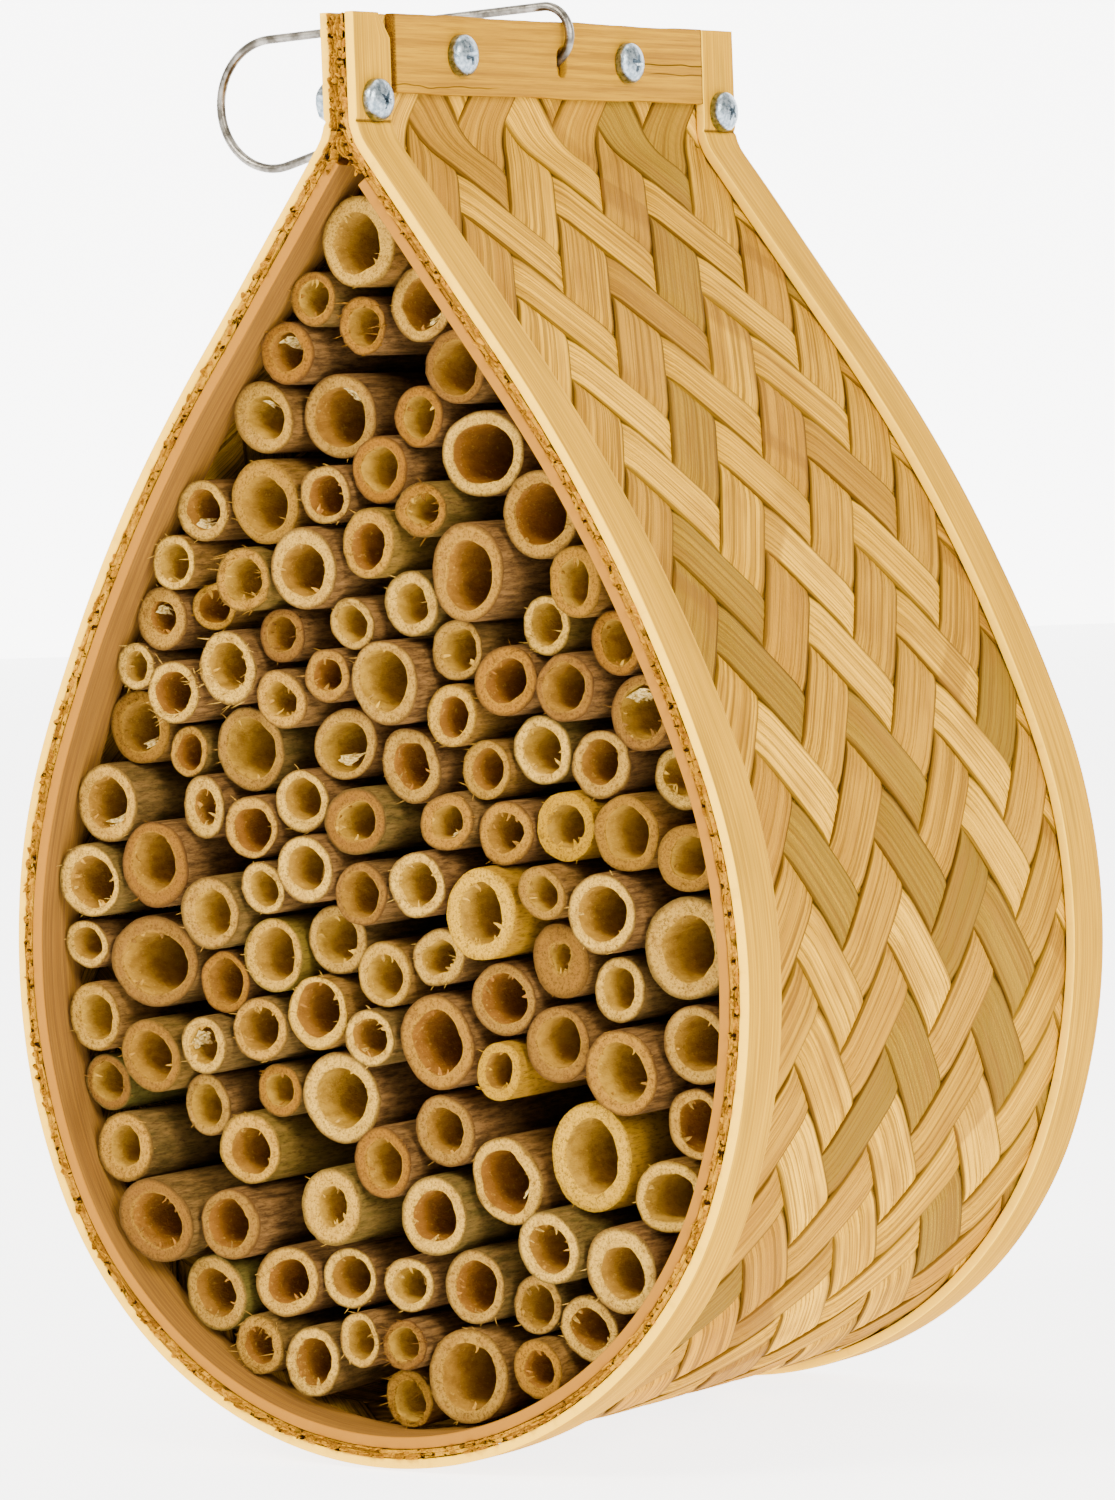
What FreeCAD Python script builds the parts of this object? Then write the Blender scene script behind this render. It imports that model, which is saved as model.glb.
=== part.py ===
import FreeCAD, Part
import Sketcher
import math
import os

# Insect hotel: a bamboo mat bent to a teardrop, held by laths inside and outside both rims,
# screwed together in a flat neck at the top and packed with cut reeds.
# +Z is up and the open front faces -Y. The origin is on the line that the wire hanger swings
# about: on the plane of symmetry, midway between the neck's top edge and the hanger's slot.

V = FreeCAD.Vector
doc = FreeCAD.newDocument("insect_hotel")

# ---------------------------------------------------------------- sizes, in millimetres

sizes = [
    # the teardrop
    ("overall_height", 275, "neck top to the bottom of the outer hoops"),
    ("overall_width", 168, "across the widest part, outside the outer hoops"),
    ("overall_depth", 135, "front rim to rear rim"),
    ("neck_height", 19.5, "straight part of the neck"),
    ("neck_bend_radius", 9, "where a strap bends out of the neck, on its outer face"),
    ("shoulder_length", 51, "straight run below the neck bend"),
    ("side_radius", 117, "the round sides at the widest part"),
    ("side_angle", 21, "degrees of that round above and below the widest point"),
    # the laths and the mat
    ("hoop_width", 12, "all four hoops, front to back"),
    ("outer_hoop_thickness", 2, ""),
    ("mat_thickness", 1.7, ""),
    ("inner_hoop_thickness", 2.3, ""),
    ("fit_gap", 0.1, "left between layers that are clamped or glued together"),
    ("inner_hoop_step", 5, "the right end of an inner hoop stops this much short of the left"),
    ("strap_cut_back", 3.7, "cut corner of the front right strap, along the depth"),
    ("strap_cut_down", 4.8, "and down the strap"),
    # the neck
    ("batten_height", 15, ""),
    ("batten_thickness", 2, ""),
    ("batten_front_gap", 1.3, "between the front strap and the battens"),
    ("batten_rear_gap", 0.1, "between the battens and the rear strap"),
    ("slot_position", 71, "centre of the hanger's slot, back from the front rim"),
    ("slot_bar_height", 5, "wood left between the slot and the top edge"),
    ("slot_side_gap", 0.9, "on each side of the wire in its slot"),
    ("slot_lower_gap", 1.7, "under the wire's tight bend, for the slope of its lower run"),
    ("strap_screw_drop", 16.5, "strap screws below the neck top"),
    ("batten_screw_drop", 7.5, "batten screws below the neck top"),
    ("front_batten_screw", 35, "back from the front rim"),
    ("rear_batten_screw", 94, "back from the front rim"),
    # the screws and nuts
    ("screw_radius", 2, "M4"),
    ("screw_hole_gap", 0.2, "all round a screw in the wood"),
    ("screw_head_radius", 4, ""),
    ("screw_head_height", 2.8, ""),
    ("screw_head_rim", 1, "straight rim of the head, below its dome"),
    ("thread_chamfer", 0.6, "at the tip"),
    ("screw_tip", 1.4, "thread that stands out of the nut"),
    ("recess_width", 1, "each bar of the cross recess"),
    ("recess_length", 4.4, ""),
    ("recess_depth", 1.6, ""),
    ("nut_across_flats", 7, ""),
    ("nut_height", 3.2, ""),
    ("nut_bore_gap", 0.05, "all round a screw in its nut"),
    # the wire hanger
    ("wire_radius", 0.9, ""),
    ("wire_bend_gap", 0.3, "between the tight bend and the corners of the bar it goes round"),
    ("wire_end_radius", 13, "centreline, at the far end of the loop"),
    ("wire_reach", 67, "from the hinge line to the centre of the far end"),
    ("wire_droop", 8.5, "degrees that the loop lies below level"),
    ("wire_joint_start", 17, "where the wire's two ends meet, from the bend along the lower run"),
    ("wire_joint_gap", 1.5, "between those two ends"),
    # the back and the reeds
    ("panel_thickness", 3, ""),
    ("panel_gap", 0.3, "round the edge of the panel"),
    ("reed_recess", 4, "front ends behind the front rim, the least"),
    ("reed_recess_spread", 5, "and how much more the deepest course has"),
    ("reed_gap", 0.15, "the least left between two reeds, or a reed and a hoop"),
    ("reed_bore_share", 0.64, "bore of a common reed as a share of its own diameter"),
    ("thick_bore_share", 0.42, "and of a thick-walled one"),
    ("reed_packing", 0.76, "share of the hollow's front area that the reeds fill"),
    ("reed_stagger", 2, "every second reed of a course starts this much lower"),
    ("reed_growth", 1.06, "the most that a loose reed is picked thicker to fill its place"),
]

derived_sizes = [
    ("neck_half", "=fit_gap / 2 + mat_thickness + fit_gap + outer_hoop_thickness"),
    ("mat_inset", "=outer_hoop_thickness + fit_gap"),
    ("inner_hoop_inset", "=mat_inset + mat_thickness + fit_gap"),
    ("hollow_inset", "=inner_hoop_inset + inner_hoop_thickness"),
    ("panel_inset", "=mat_inset + mat_thickness + panel_gap"),
    ("front_rim", "=-slot_position"),
    ("rear_rim", "=overall_depth - slot_position"),
    ("neck_top", "=slot_bar_height / 2"),
    ("batten_seat", "=fit_gap * 3 / 2 + mat_thickness"),
    ("batten_face", "=batten_seat + batten_thickness"),
    ("batten_length",
     "=overall_depth - 2 * hoop_width - batten_front_gap - batten_rear_gap"),
    ("panel_front", "=rear_rim - hoop_width - panel_thickness"),
    ("wire_bend_radius",
     "=sqrt(batten_face ^ 2 + (slot_bar_height / 2) ^ 2) + wire_bend_gap + wire_radius"),
    ("slot_width", "=2 * (wire_radius + slot_side_gap)"),
    ("slot_height", "=wire_bend_radius + wire_radius + slot_lower_gap - slot_bar_height / 2"),
    ("screw_hole_radius", "=screw_radius + screw_hole_gap"),
    ("nut_bore_radius", "=screw_radius + nut_bore_gap"),
]

sheet = doc.addObject("Spreadsheet::Sheet", "Sizes")
for row, (name, value, note) in enumerate(sizes, start=1):
    sheet.set(f"A{row}", name)
    sheet.set(f"B{row}", str(value))
    sheet.set(f"C{row}", note)
    sheet.setAlias(f"B{row}", name)
for row, (name, formula) in enumerate(derived_sizes, start=len(sizes) + 2):
    sheet.set(f"A{row}", name)
    sheet.set(f"B{row}", formula)
    sheet.setAlias(f"B{row}", name)
doc.recompute()


def size(name):
    """Value of a cell of the sheet."""
    return float(sheet.get(name))


# ---------------------------------------------------------------- the teardrop outline
# A heading is the slope of the outline, in degrees from straight down and positive outwards.
# Every round stretch is an arc about one centre, so that an inset outline keeps the centres.


class Arc:
    """One round stretch of the right half, between two headings."""

    def __init__(self, centre, radius, start, end):
        self.centre = centre
        self.radius = radius
        self.start = start
        self.end = end

    def point(self, heading, inset):
        outward = V(math.cos(math.radians(heading)), math.sin(math.radians(heading)), 0)
        return self.centre + outward * (self.radius - inset)


def flank_radius(shoulder):
    """Radius of the flank that brings the side out to the full width."""
    turn = math.radians(shoulder)
    side = math.radians(size("side_angle"))
    room = (size("overall_width") / 2 - size("neck_half")
            - size("neck_bend_radius") * (1 - math.cos(turn))
            - size("side_radius") * (1 - math.cos(side))
            - size("shoulder_length") * math.sin(turn))
    return room / (math.cos(side) - math.cos(turn))


def belly_radius():
    """Radius of the belly that meets the plane of symmetry at its lowest point."""
    side = math.radians(size("side_angle"))
    reach = size("overall_width") / 2 - size("side_radius") * (1 - math.cos(side))
    return reach / math.cos(side)


def height_with(shoulder):
    """Height of the whole outline for one heading of the shoulder."""
    turn = math.radians(shoulder)
    side = math.radians(size("side_angle"))
    return (size("neck_height")
            + size("neck_bend_radius") * math.sin(turn)
            + size("shoulder_length") * math.cos(turn)
            + flank_radius(shoulder) * (math.sin(turn) - math.sin(side))
            + size("side_radius") * 2 * math.sin(side)
            + belly_radius() * (1 - math.sin(side)))


def shoulder_heading():
    """Heading of the straight shoulder that gives the overall height, by halving."""
    steep = size("side_angle") + 0.5
    flat = 85
    while flat - steep > 1e-9:
        middle = (steep + flat) / 2
        if height_with(middle) > size("overall_height"):
            steep = middle
        else:
            flat = middle
    return steep


def outline_arcs():
    """Neck bend, flank, side and belly of the right half, from the top down."""
    shoulder = shoulder_heading()
    side = size("side_angle")
    bend_radius = size("neck_bend_radius")
    bend_end = shoulder + 180
    centre = V(size("neck_half") + bend_radius, size("neck_top") - size("neck_height"), 0)
    bend = Arc(centre, bend_radius, 180, bend_end)
    along = V(math.sin(math.radians(shoulder)), -math.cos(math.radians(shoulder)), 0)
    flank_start = bend.point(bend_end, 0) + along * size("shoulder_length")
    arcs = [bend]
    turns = [
        (flank_radius(shoulder), shoulder, side),
        (size("side_radius"), side, -side),
        (belly_radius(), -side, -90),
    ]
    start_point = flank_start
    for radius, start, end in turns:
        inward = V(-math.cos(math.radians(start)), -math.sin(math.radians(start)), 0)
        arc = Arc(start_point + inward * radius, radius, start, end)
        start_point = arc.point(end, 0)
        arcs.append(arc)
    return arcs


neck_bend, flank, side_round, belly = outline_arcs()
shoulder_direction = V(
    math.sin(math.radians(flank.start)), -math.cos(math.radians(flank.start)), 0)


def mirrored(point):
    return V(-point.x, point.y, 0)


def bend_point(heading, inset):
    """A point of the neck bend, whose centre lies outside the outline."""
    outward = V(math.cos(math.radians(heading)), math.sin(math.radians(heading)), 0)
    return neck_bend.centre + outward * (neck_bend.radius + inset)


def shoulder_point(distance, inset):
    """A point on the straight right shoulder, a distance below its upper end."""
    return bend_point(neck_bend.end, inset) + shoulder_direction * distance


def body_edges(inset, right_start, left_start):
    """Outline from the right shoulder round the bottom to the left shoulder."""
    arcs = [flank, side_round]
    joints = [arc.point(arc.start, inset) for arc in arcs]
    middles = [arc.point((arc.start + arc.end) / 2, inset) for arc in arcs]
    belly_start = belly.point(belly.start, inset)
    ends = [joints[1], belly_start]
    edges = [Part.LineSegment(shoulder_point(right_start, inset), joints[0])]
    for start, middle, end in zip(joints, middles, ends):
        edges.append(Part.Arc(start, middle, end))
    edges.append(Part.Arc(belly_start, belly.point(-90, inset), mirrored(belly_start)))
    for start, middle, end in reversed(list(zip(joints, middles, ends))):
        edges.append(Part.Arc(mirrored(end), mirrored(middle), mirrored(start)))
    edges.append(Part.LineSegment(mirrored(joints[0]), mirrored(shoulder_point(left_start, inset))))
    return edges


def neck_edges(inset):
    """Right side of the neck, from the top down to the shoulder."""
    top = V(size("neck_half") - inset, size("neck_top"), 0)
    bend_start = bend_point(neck_bend.start, inset)
    bend_middle = bend_point((neck_bend.start + neck_bend.end) / 2, inset)
    bend_end = bend_point(neck_bend.end, inset)
    return [Part.LineSegment(top, bend_start), Part.Arc(bend_start, bend_middle, bend_end)]


def mirrored_edges(edges):
    """The same edges on the left, in the opposite order and direction."""
    result = []
    for edge in reversed(edges):
        start, end = mirrored(edge.EndPoint), mirrored(edge.StartPoint)
        if isinstance(edge, Part.LineSegment):
            result.append(Part.LineSegment(start, end))
        else:
            middle = edge.value((edge.FirstParameter + edge.LastParameter) / 2)
            result.append(Part.Arc(start, mirrored(middle), end))
    return result


def closed_band(outer, inner):
    """Edges of a band between two open outlines that run the same way."""
    return (outer + inner
            + [Part.LineSegment(outer[0].StartPoint, inner[0].StartPoint),
               Part.LineSegment(outer[-1].EndPoint, inner[-1].EndPoint)])


def full_outline(inset):
    """Neck, body and neck again: the path of an outer hoop or of the mat."""
    neck = neck_edges(inset)
    return neck + body_edges(inset, 0, 0) + mirrored_edges(neck)


# ---------------------------------------------------------------- helpers for the features

subparts = []


def keep(part, label):
    """Name a finished sub-part, which is written to a file of that name."""
    part.Label = label
    subparts.append(part)
    return part


def move(part, **places):
    """Tie the placement of a part to the sheet, one axis at a time."""
    for axis, expression in places.items():
        part.setExpression(f"Placement.Base.{axis}", expression)


def origin_plane(body, role):
    return next(plane for plane in body.Origin.OriginFeatures if plane.Role == role)


def new_body(name):
    return doc.addObject("PartDesign::Body", name)


def new_sketch(body, name, role, edges=()):
    """Sketch on one of the body's own origin planes."""
    sketch = body.newObject("Sketcher::SketchObject", name)
    sketch.AttachmentSupport = (origin_plane(body, role), [""])
    sketch.MapMode = "FlatFace"
    for edge in edges:
        sketch.addGeometry(edge, False)
    return sketch


def add_circle(sketch, radius, across, up):
    """Circle whose radius and centre are expressions on the sheet."""
    number = sketch.addGeometry(Part.Circle(V(0, 0, 0), V(0, 0, 1), 1), False)
    for kind, arguments, expression in (
            ("Radius", (number, 1), radius),
            ("DistanceX", (-1, 1, number, 3, 1), across),
            ("DistanceY", (-1, 1, number, 3, 1), up)):
        index = sketch.addConstraint(Sketcher.Constraint(kind, *arguments))
        sketch.setExpression(f"Constraints[{index}]", expression)
    return number


def pad(body, name, sketch, length, toward_back=True):
    feature = body.newObject("PartDesign::Pad", name)
    feature.Profile = sketch
    feature.setExpression("Length", length)
    feature.Reversed = toward_back
    return feature


def cut_through(body, name, sketch):
    """Pocket through everything on both sides of its sketch, checked by volume."""
    doc.recompute()
    before = body.Shape.Volume
    feature = body.newObject("PartDesign::Pocket", name)
    feature.Profile = sketch
    feature.Type = "ThroughAll"
    feature.Midplane = True
    doc.recompute()
    if body.Shape.Volume >= before:
        raise RuntimeError(f"{body.Name}: {name} cuts nothing")
    return feature


# ---------------------------------------------------------------- hoops and mat


def outer_hoop(label, back_edge):
    """Lath bent round a rim, with both ends up the neck, drilled for the strap screw."""
    body = new_body(label)
    edges = closed_band(full_outline(0), full_outline(size("outer_hoop_thickness")))
    outline = new_sketch(body, label + "_outline", "XZ_Plane", edges)
    pad(body, label + "_lath", outline, "Sizes.hoop_width")
    move(body, y=back_edge + " - Sizes.hoop_width")
    hole = new_sketch(body, label + "_hole", "YZ_Plane")
    add_circle(hole, "Sizes.screw_hole_radius", "Sizes.hoop_width / 2",
               "Sizes.neck_top - Sizes.strap_screw_drop")
    cut_through(body, label + "_drilling", hole)
    return keep(body, label)


def cut_strap_corner(hoop):
    """Slanted cut at the top rear corner of the right strap."""
    rear = size("hoop_width")
    top = size("neck_top")
    margin = 1
    slope = size("strap_cut_down") / size("strap_cut_back")
    corners = [
        V(rear - size("strap_cut_back") - margin / slope, top + margin, 0),
        V(rear + margin, top + margin, 0),
        V(rear + margin, top - size("strap_cut_down") - margin * slope, 0),
    ]
    edges = [Part.LineSegment(corners[n], corners[(n + 1) % 3]) for n in range(3)]
    sketch = new_sketch(hoop, "strap_corner", "YZ_Plane", edges)
    doc.recompute()
    before = hoop.Shape.Volume
    feature = hoop.newObject("PartDesign::Pocket", "strap_corner_cut")
    feature.Profile = sketch
    feature.setExpression("Length", "Sizes.neck_half + Sizes.fit_gap")
    feature.Reversed = False
    doc.recompute()
    removed = before - hoop.Shape.Volume
    expected = size("strap_cut_back") * size("strap_cut_down") / 2 * size("outer_hoop_thickness")
    if abs(removed - expected) > 0.01 * expected:
        raise RuntimeError("the strap corner is cut on the wrong side")


def inner_hoop(label, back_edge):
    """Lath sprung inside a rim; its left end runs up to the apex and its right end stops short."""
    body = new_body(label)
    bands = [body_edges(inset, size("inner_hoop_step"), 0)
             for inset in (size("inner_hoop_inset"), size("hollow_inset"))]
    outline = new_sketch(body, label + "_outline", "XZ_Plane", closed_band(*bands))
    pad(body, label + "_lath", outline, "Sizes.hoop_width")
    move(body, y=back_edge + " - Sizes.hoop_width")
    return keep(body, label)


def neck_holes(sketch, with_strap_screws):
    """Holes for the screws, as circles on a sketch whose origin is at the front rim."""
    holes = [
        ("Sizes.front_batten_screw", "Sizes.batten_screw_drop"),
        ("Sizes.rear_batten_screw", "Sizes.batten_screw_drop"),
    ]
    if with_strap_screws:
        holes += [
            ("Sizes.hoop_width / 2", "Sizes.strap_screw_drop"),
            ("Sizes.overall_depth - Sizes.hoop_width / 2", "Sizes.strap_screw_drop"),
        ]
    for across, drop in holes:
        add_circle(sketch, "Sizes.screw_hole_radius", across, "Sizes.neck_top - " + drop)


def slot_edges():
    """Round-ended slot for the wire, on a sketch whose origin is at the front rim."""
    radius = size("slot_width") / 2
    middle = size("slot_position")
    top = size("neck_top") - size("slot_bar_height") - radius
    bottom = size("neck_top") - size("slot_bar_height") - size("slot_height") + radius
    left, right = middle - radius, middle + radius
    return [
        Part.LineSegment(V(left, bottom, 0), V(left, top, 0)),
        Part.Arc(V(left, top, 0), V(middle, top + radius, 0), V(right, top, 0)),
        Part.LineSegment(V(right, top, 0), V(right, bottom, 0)),
        Part.Arc(V(right, bottom, 0), V(middle, bottom - radius, 0), V(left, bottom, 0)),
    ]


def woven_wall():
    """The mat, as one even sheet from rim to rim, with the neck drilled and slotted."""
    body = new_body("woven_wall")
    outer = full_outline(size("mat_inset"))
    inner = full_outline(size("mat_inset") + size("mat_thickness"))
    outline = new_sketch(body, "mat_outline", "XZ_Plane", closed_band(outer, inner))
    pad(body, "mat_sheet", outline, "Sizes.overall_depth")
    move(body, y="Sizes.front_rim")
    holes = new_sketch(body, "mat_holes", "YZ_Plane", slot_edges())
    neck_holes(holes, with_strap_screws=True)
    cut_through(body, "mat_drilling", holes)
    return keep(body, "woven_wall")


def neck_batten(label, side):
    """Slat between the front and rear straps, on one side of the neck."""
    body = new_body(label)
    front = size("hoop_width") + size("batten_front_gap")
    rear = front + size("batten_length")
    top = size("neck_top")
    bottom = top - size("batten_height")
    corners = [V(front, bottom, 0), V(rear, bottom, 0), V(rear, top, 0), V(front, top, 0)]
    edges = [Part.LineSegment(corners[n], corners[(n + 1) % 4]) for n in range(4)]
    face = new_sketch(body, label + "_face", "YZ_Plane", edges)
    pad(body, label + "_slat", face, "Sizes.batten_thickness", toward_back=side < 0)
    move(body, x="Sizes.batten_seat" if side > 0 else "-Sizes.batten_seat", y="Sizes.front_rim")
    holes = new_sketch(body, label + "_holes", "YZ_Plane", slot_edges())
    neck_holes(holes, with_strap_screws=False)
    cut_through(body, label + "_drilling", holes)
    return keep(body, label)


# ---------------------------------------------------------------- screws and nuts

screw_places = [
    ("Sizes.front_rim + Sizes.hoop_width / 2", "Sizes.strap_screw_drop", "neck_half"),
    ("Sizes.front_rim + Sizes.front_batten_screw", "Sizes.batten_screw_drop", "batten_face"),
    ("Sizes.front_rim + Sizes.rear_batten_screw", "Sizes.batten_screw_drop", "batten_face"),
    ("Sizes.rear_rim - Sizes.hoop_width / 2", "Sizes.strap_screw_drop", "neck_half"),
]


def screw(number, across, drop, seat):
    """Pan-head screw along -X, with its head's flat at x = 0 before it is placed."""
    body = new_body(f"screw_{number}")
    grip = 2 * (size(seat) + size("fit_gap"))
    tip = -grip - size("nut_height") - size("screw_tip")
    head = size("screw_head_height")
    flat = size("screw_head_radius")
    shank = size("screw_radius")
    dome_share = 0.8
    rim = V(size("screw_head_rim"), flat, 0)
    crown = V(head, 0, 0)
    shoulder = V(head * dome_share, flat * dome_share, 0)
    chamfer = size("thread_chamfer")
    edges = [
        Part.LineSegment(V(tip, 0, 0), V(tip, shank - chamfer, 0)),
        Part.LineSegment(V(tip, shank - chamfer, 0), V(tip + chamfer, shank, 0)),
        Part.LineSegment(V(tip + chamfer, shank, 0), V(0, shank, 0)),
        Part.LineSegment(V(0, shank, 0), V(0, flat, 0)),
        Part.LineSegment(V(0, flat, 0), rim),
        Part.Arc(rim, shoulder, crown),
        Part.LineSegment(crown, V(tip, 0, 0)),
    ]
    profile = new_sketch(body, f"screw_{number}_profile", "XY_Plane", edges)
    turned = body.newObject("PartDesign::Revolution", f"screw_{number}_turned")
    turned.Profile = profile
    turned.ReferenceAxis = (profile, ["H_Axis"])
    turned.Angle = 360
    half_length = size("recess_length") / 2
    half_width = size("recess_width") / 2
    cross = [
        V(half_width, half_width, 0), V(half_width, half_length, 0),
        V(-half_width, half_length, 0), V(-half_width, half_width, 0),
        V(-half_length, half_width, 0), V(-half_length, -half_width, 0),
        V(-half_width, -half_width, 0), V(-half_width, -half_length, 0),
        V(half_width, -half_length, 0), V(half_width, -half_width, 0),
        V(half_length, -half_width, 0), V(half_length, half_width, 0),
    ]
    edges = [Part.LineSegment(cross[n], cross[(n + 1) % len(cross)]) for n in range(len(cross))]
    recess = new_sketch(body, f"screw_{number}_recess", "YZ_Plane", edges)
    recess.AttachmentOffset = FreeCAD.Placement(V(0, 0, head), FreeCAD.Rotation())
    doc.recompute()
    before = body.Shape.Volume
    pocket = body.newObject("PartDesign::Pocket", f"screw_{number}_drive")
    pocket.Profile = recess
    pocket.setExpression("Length", "Sizes.recess_depth")
    doc.recompute()
    if body.Shape.Volume >= before:
        raise RuntimeError("the cross recess cuts nothing")
    move(body, x=f"Sizes.{seat} + Sizes.fit_gap", y=across, z="Sizes.neck_top - " + drop)
    return body


def nut(number, across, drop, seat):
    """Hex nut on the screw's far end."""
    body = new_body(f"nut_{number}")
    corner = size("nut_across_flats") / math.sqrt(3)
    turns = [math.radians(60 * n) for n in range(6)]
    corners = [V(corner * math.cos(turn), corner * math.sin(turn), 0) for turn in turns]
    edges = [Part.LineSegment(corners[n], corners[(n + 1) % 6]) for n in range(6)]
    face = new_sketch(body, f"nut_{number}_face", "YZ_Plane", edges)
    add_circle(face, "Sizes.nut_bore_radius", "0", "0")
    pad(body, f"nut_{number}_body", face, "Sizes.nut_height", toward_back=True)
    move(body, x=f"-Sizes.{seat} - Sizes.fit_gap", y=across, z="Sizes.neck_top - " + drop)
    return body


def group(label, members):
    """Identical loose pieces kept together as one sub-part."""
    compound = doc.addObject("Part::Compound", label)
    compound.Links = members
    return keep(compound, label)


# ---------------------------------------------------------------- wire hanger


def wire_hanger():
    """Open loop: a tight bend round the bar above the slot and a wide far end."""
    bend = size("wire_bend_radius")
    end = size("wire_end_radius")
    reach = size("wire_reach")
    spread = math.asin((end - bend) / reach)
    tilt = math.radians(size("wire_droop"))

    def place(along, above):
        """Point of the loop: along it from the hinge line, and above its own middle line."""
        return V(-along * math.cos(tilt) - above * math.sin(tilt),
                 -along * math.sin(tilt) + above * math.cos(tilt), 0)

    def on_circle(centre, radius, angle):
        return place(centre + radius * math.cos(angle), radius * math.sin(angle))

    leave = math.pi / 2 + spread
    lower_start = on_circle(0, bend, -leave)
    lower_end = on_circle(reach, end, -leave)
    upper_start = on_circle(0, bend, leave)
    upper_end = on_circle(reach, end, leave)
    run = (lower_end - lower_start).normalize()
    first_end = lower_start + run * (size("wire_joint_start") + size("wire_joint_gap"))
    last_end = lower_start + run * size("wire_joint_start")
    edges = [
        Part.LineSegment(first_end, lower_end),
        Part.Arc(lower_end, on_circle(reach, end, 0), upper_end),
        Part.LineSegment(upper_end, upper_start),
        Part.Arc(upper_start, on_circle(0, bend, math.pi), lower_start),
        Part.LineSegment(lower_start, last_end),
    ]
    spine = doc.addObject("Sketcher::SketchObject", "wire_path")
    spine.Placement = FreeCAD.Placement(V(0, 0, 0), FreeCAD.Rotation(V(1, 0, 0), 90))
    for edge in edges:
        spine.addGeometry(edge, False)
    section = doc.addObject("Part::Circle", "wire_section")
    section.setExpression("Radius", "Sizes.wire_radius")
    section.Placement = FreeCAD.Placement(
        V(first_end.x, 0, first_end.y), FreeCAD.Rotation(V(0, 0, 1), V(run.x, 0, run.y)))
    doc.recompute()
    sweep = doc.addObject("Part::Sweep", "wire_hanger")
    sweep.Sections = [section]
    sweep.Spine = (spine, [f"Edge{n + 1}" for n in range(len(edges))])
    sweep.Solid = True
    sweep.Frenet = False
    return keep(sweep, "wire_hanger")


# ---------------------------------------------------------------- back panel


def back_panel():
    """Thin panel inside the mat, held from behind by the rear inner hoop."""
    body = new_body("back_panel")
    edges = body_edges(size("panel_inset"), 0, 0)
    edges.append(Part.LineSegment(edges[0].StartPoint, edges[-1].EndPoint))
    outline = new_sketch(body, "panel_outline", "XZ_Plane", edges)
    pad(body, "panel_board", outline, "Sizes.panel_thickness")
    move(body, y="Sizes.panel_front")
    return keep(body, "back_panel")


# ---------------------------------------------------------------- reeds
# Outer diameters of the cut reeds, course by course from the top, each from left to right.
# The courses are laid level and evenly spread, and then settle against each other.

courses = [
    [17],
    [10.5, 11, 14],
    [12, 14],
    [14.5, 16, 11.5, 18],
    [11.5, 16, 11.5, 12.5, 11.5, 16.5],
    [10.5, 12.5, 15.5, 13, 18.5, 13],
    [12, 10, 10.5, 10.5, 12.5, 11.5, 11, 12],
    [9, 12, 14, 12, 10.5, 16, 11.5, 14, 12.5, 14],
    [14, 10, 16, 14.5, 14.5, 11, 13, 13, 12],
    [15, 12, 12, 12, 14, 12, 12, 13, 14],
    [14, 16.5, 14, 10.5, 12.5, 12, 13, 17, 10.5, 15, 12.5],
    [10.5, 20, 12, 14, 13, 12.5, 12, 14, 14, 12, 19],
    [13, 14.5, 11, 12.5, 14, 11, 18, 11, 14, 16, 15],
    [11.5, 12, 10.5, 17.5, 14, 20, 13],
    [13.5, 14, 13.5, 17, 15],
    [17.5, 14, 14.5, 15, 14, 16],
    [15, 15, 12, 11.5, 14, 11, 13],
    [11.5, 13.5, 10.5, 9.5, 18, 11],
    [11],
]
thick_walled = [(6, 0), (11, 8), (14, 0), (15, 2)]

# how the reeds settle
tangent_slack = 0.05 # the most that two tangents of the hollow meet outside its round
least_slope = 0.05   # a tangent flatter than this is floor or roof, not a side
first_share = 0.8    # the reeds start this much thinner and swell in stages
swell_stages = 8
stage_rounds = 40
last_rounds = 150
depth_steps = 5      # courses end at this many depths, in a repeating order
depth_stride = 3


class Reed:
    """One reed while the courses settle: its place in the front view and its radius."""

    def __init__(self, course, number, across, up, radius):
        self.course = course
        self.number = number
        self.x = across
        self.z = up
        self.radius = radius


def wall_lines():
    """Tangents of the hollow: an outward direction and how far out the hollow reaches."""
    lines = []
    inset = size("hollow_inset")
    for arc in (flank, side_round, belly):
        step = 2 * math.degrees(math.sqrt(2 * tangent_slack / arc.radius))
        count = math.ceil((arc.start - arc.end) / step)
        for n in range(count + 1):
            heading = math.radians(arc.start + (arc.end - arc.start) * n / count)
            across, up = math.cos(heading), math.sin(heading)
            reach = arc.centre.x * across + arc.centre.y * up + arc.radius - inset
            lines.append((across, up, reach))
            lines.append((-across, up, reach))
    return lines


def room_at(height, walls):
    """Half the width of the hollow at one height."""
    sides = [wall for wall in walls if wall[0] > least_slope]
    return min((reach - up * height) / across for across, up, reach in sides)


def lay_courses(walls):
    """Put the reeds in level courses, each spread from wall to wall."""
    steepest = max(up for across, up, reach in walls)
    apex = min(reach / steepest for across, up, reach in walls if up == steepest)
    first = apex - courses[0][0] / 2 / steepest
    last = belly.point(-90, size("hollow_inset")).y + courses[-1][0] / 2
    reeds = []
    for course, diameters in enumerate(courses):
        height = first + (last - first) * course / (len(courses) - 1)
        half_room = room_at(height, walls)
        spare = 2 * half_room - sum(diameters)
        between = spare / max(1, len(diameters) - 1)
        left = -half_room
        if len(diameters) == 1:
            left += spare / 2
        for number, diameter in enumerate(diameters):
            lower = size("reed_stagger") * (number % 2)
            reeds.append(Reed(course, number, left + diameter / 2, height - lower, diameter / 2))
            left += diameter + between
    return reeds


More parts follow.
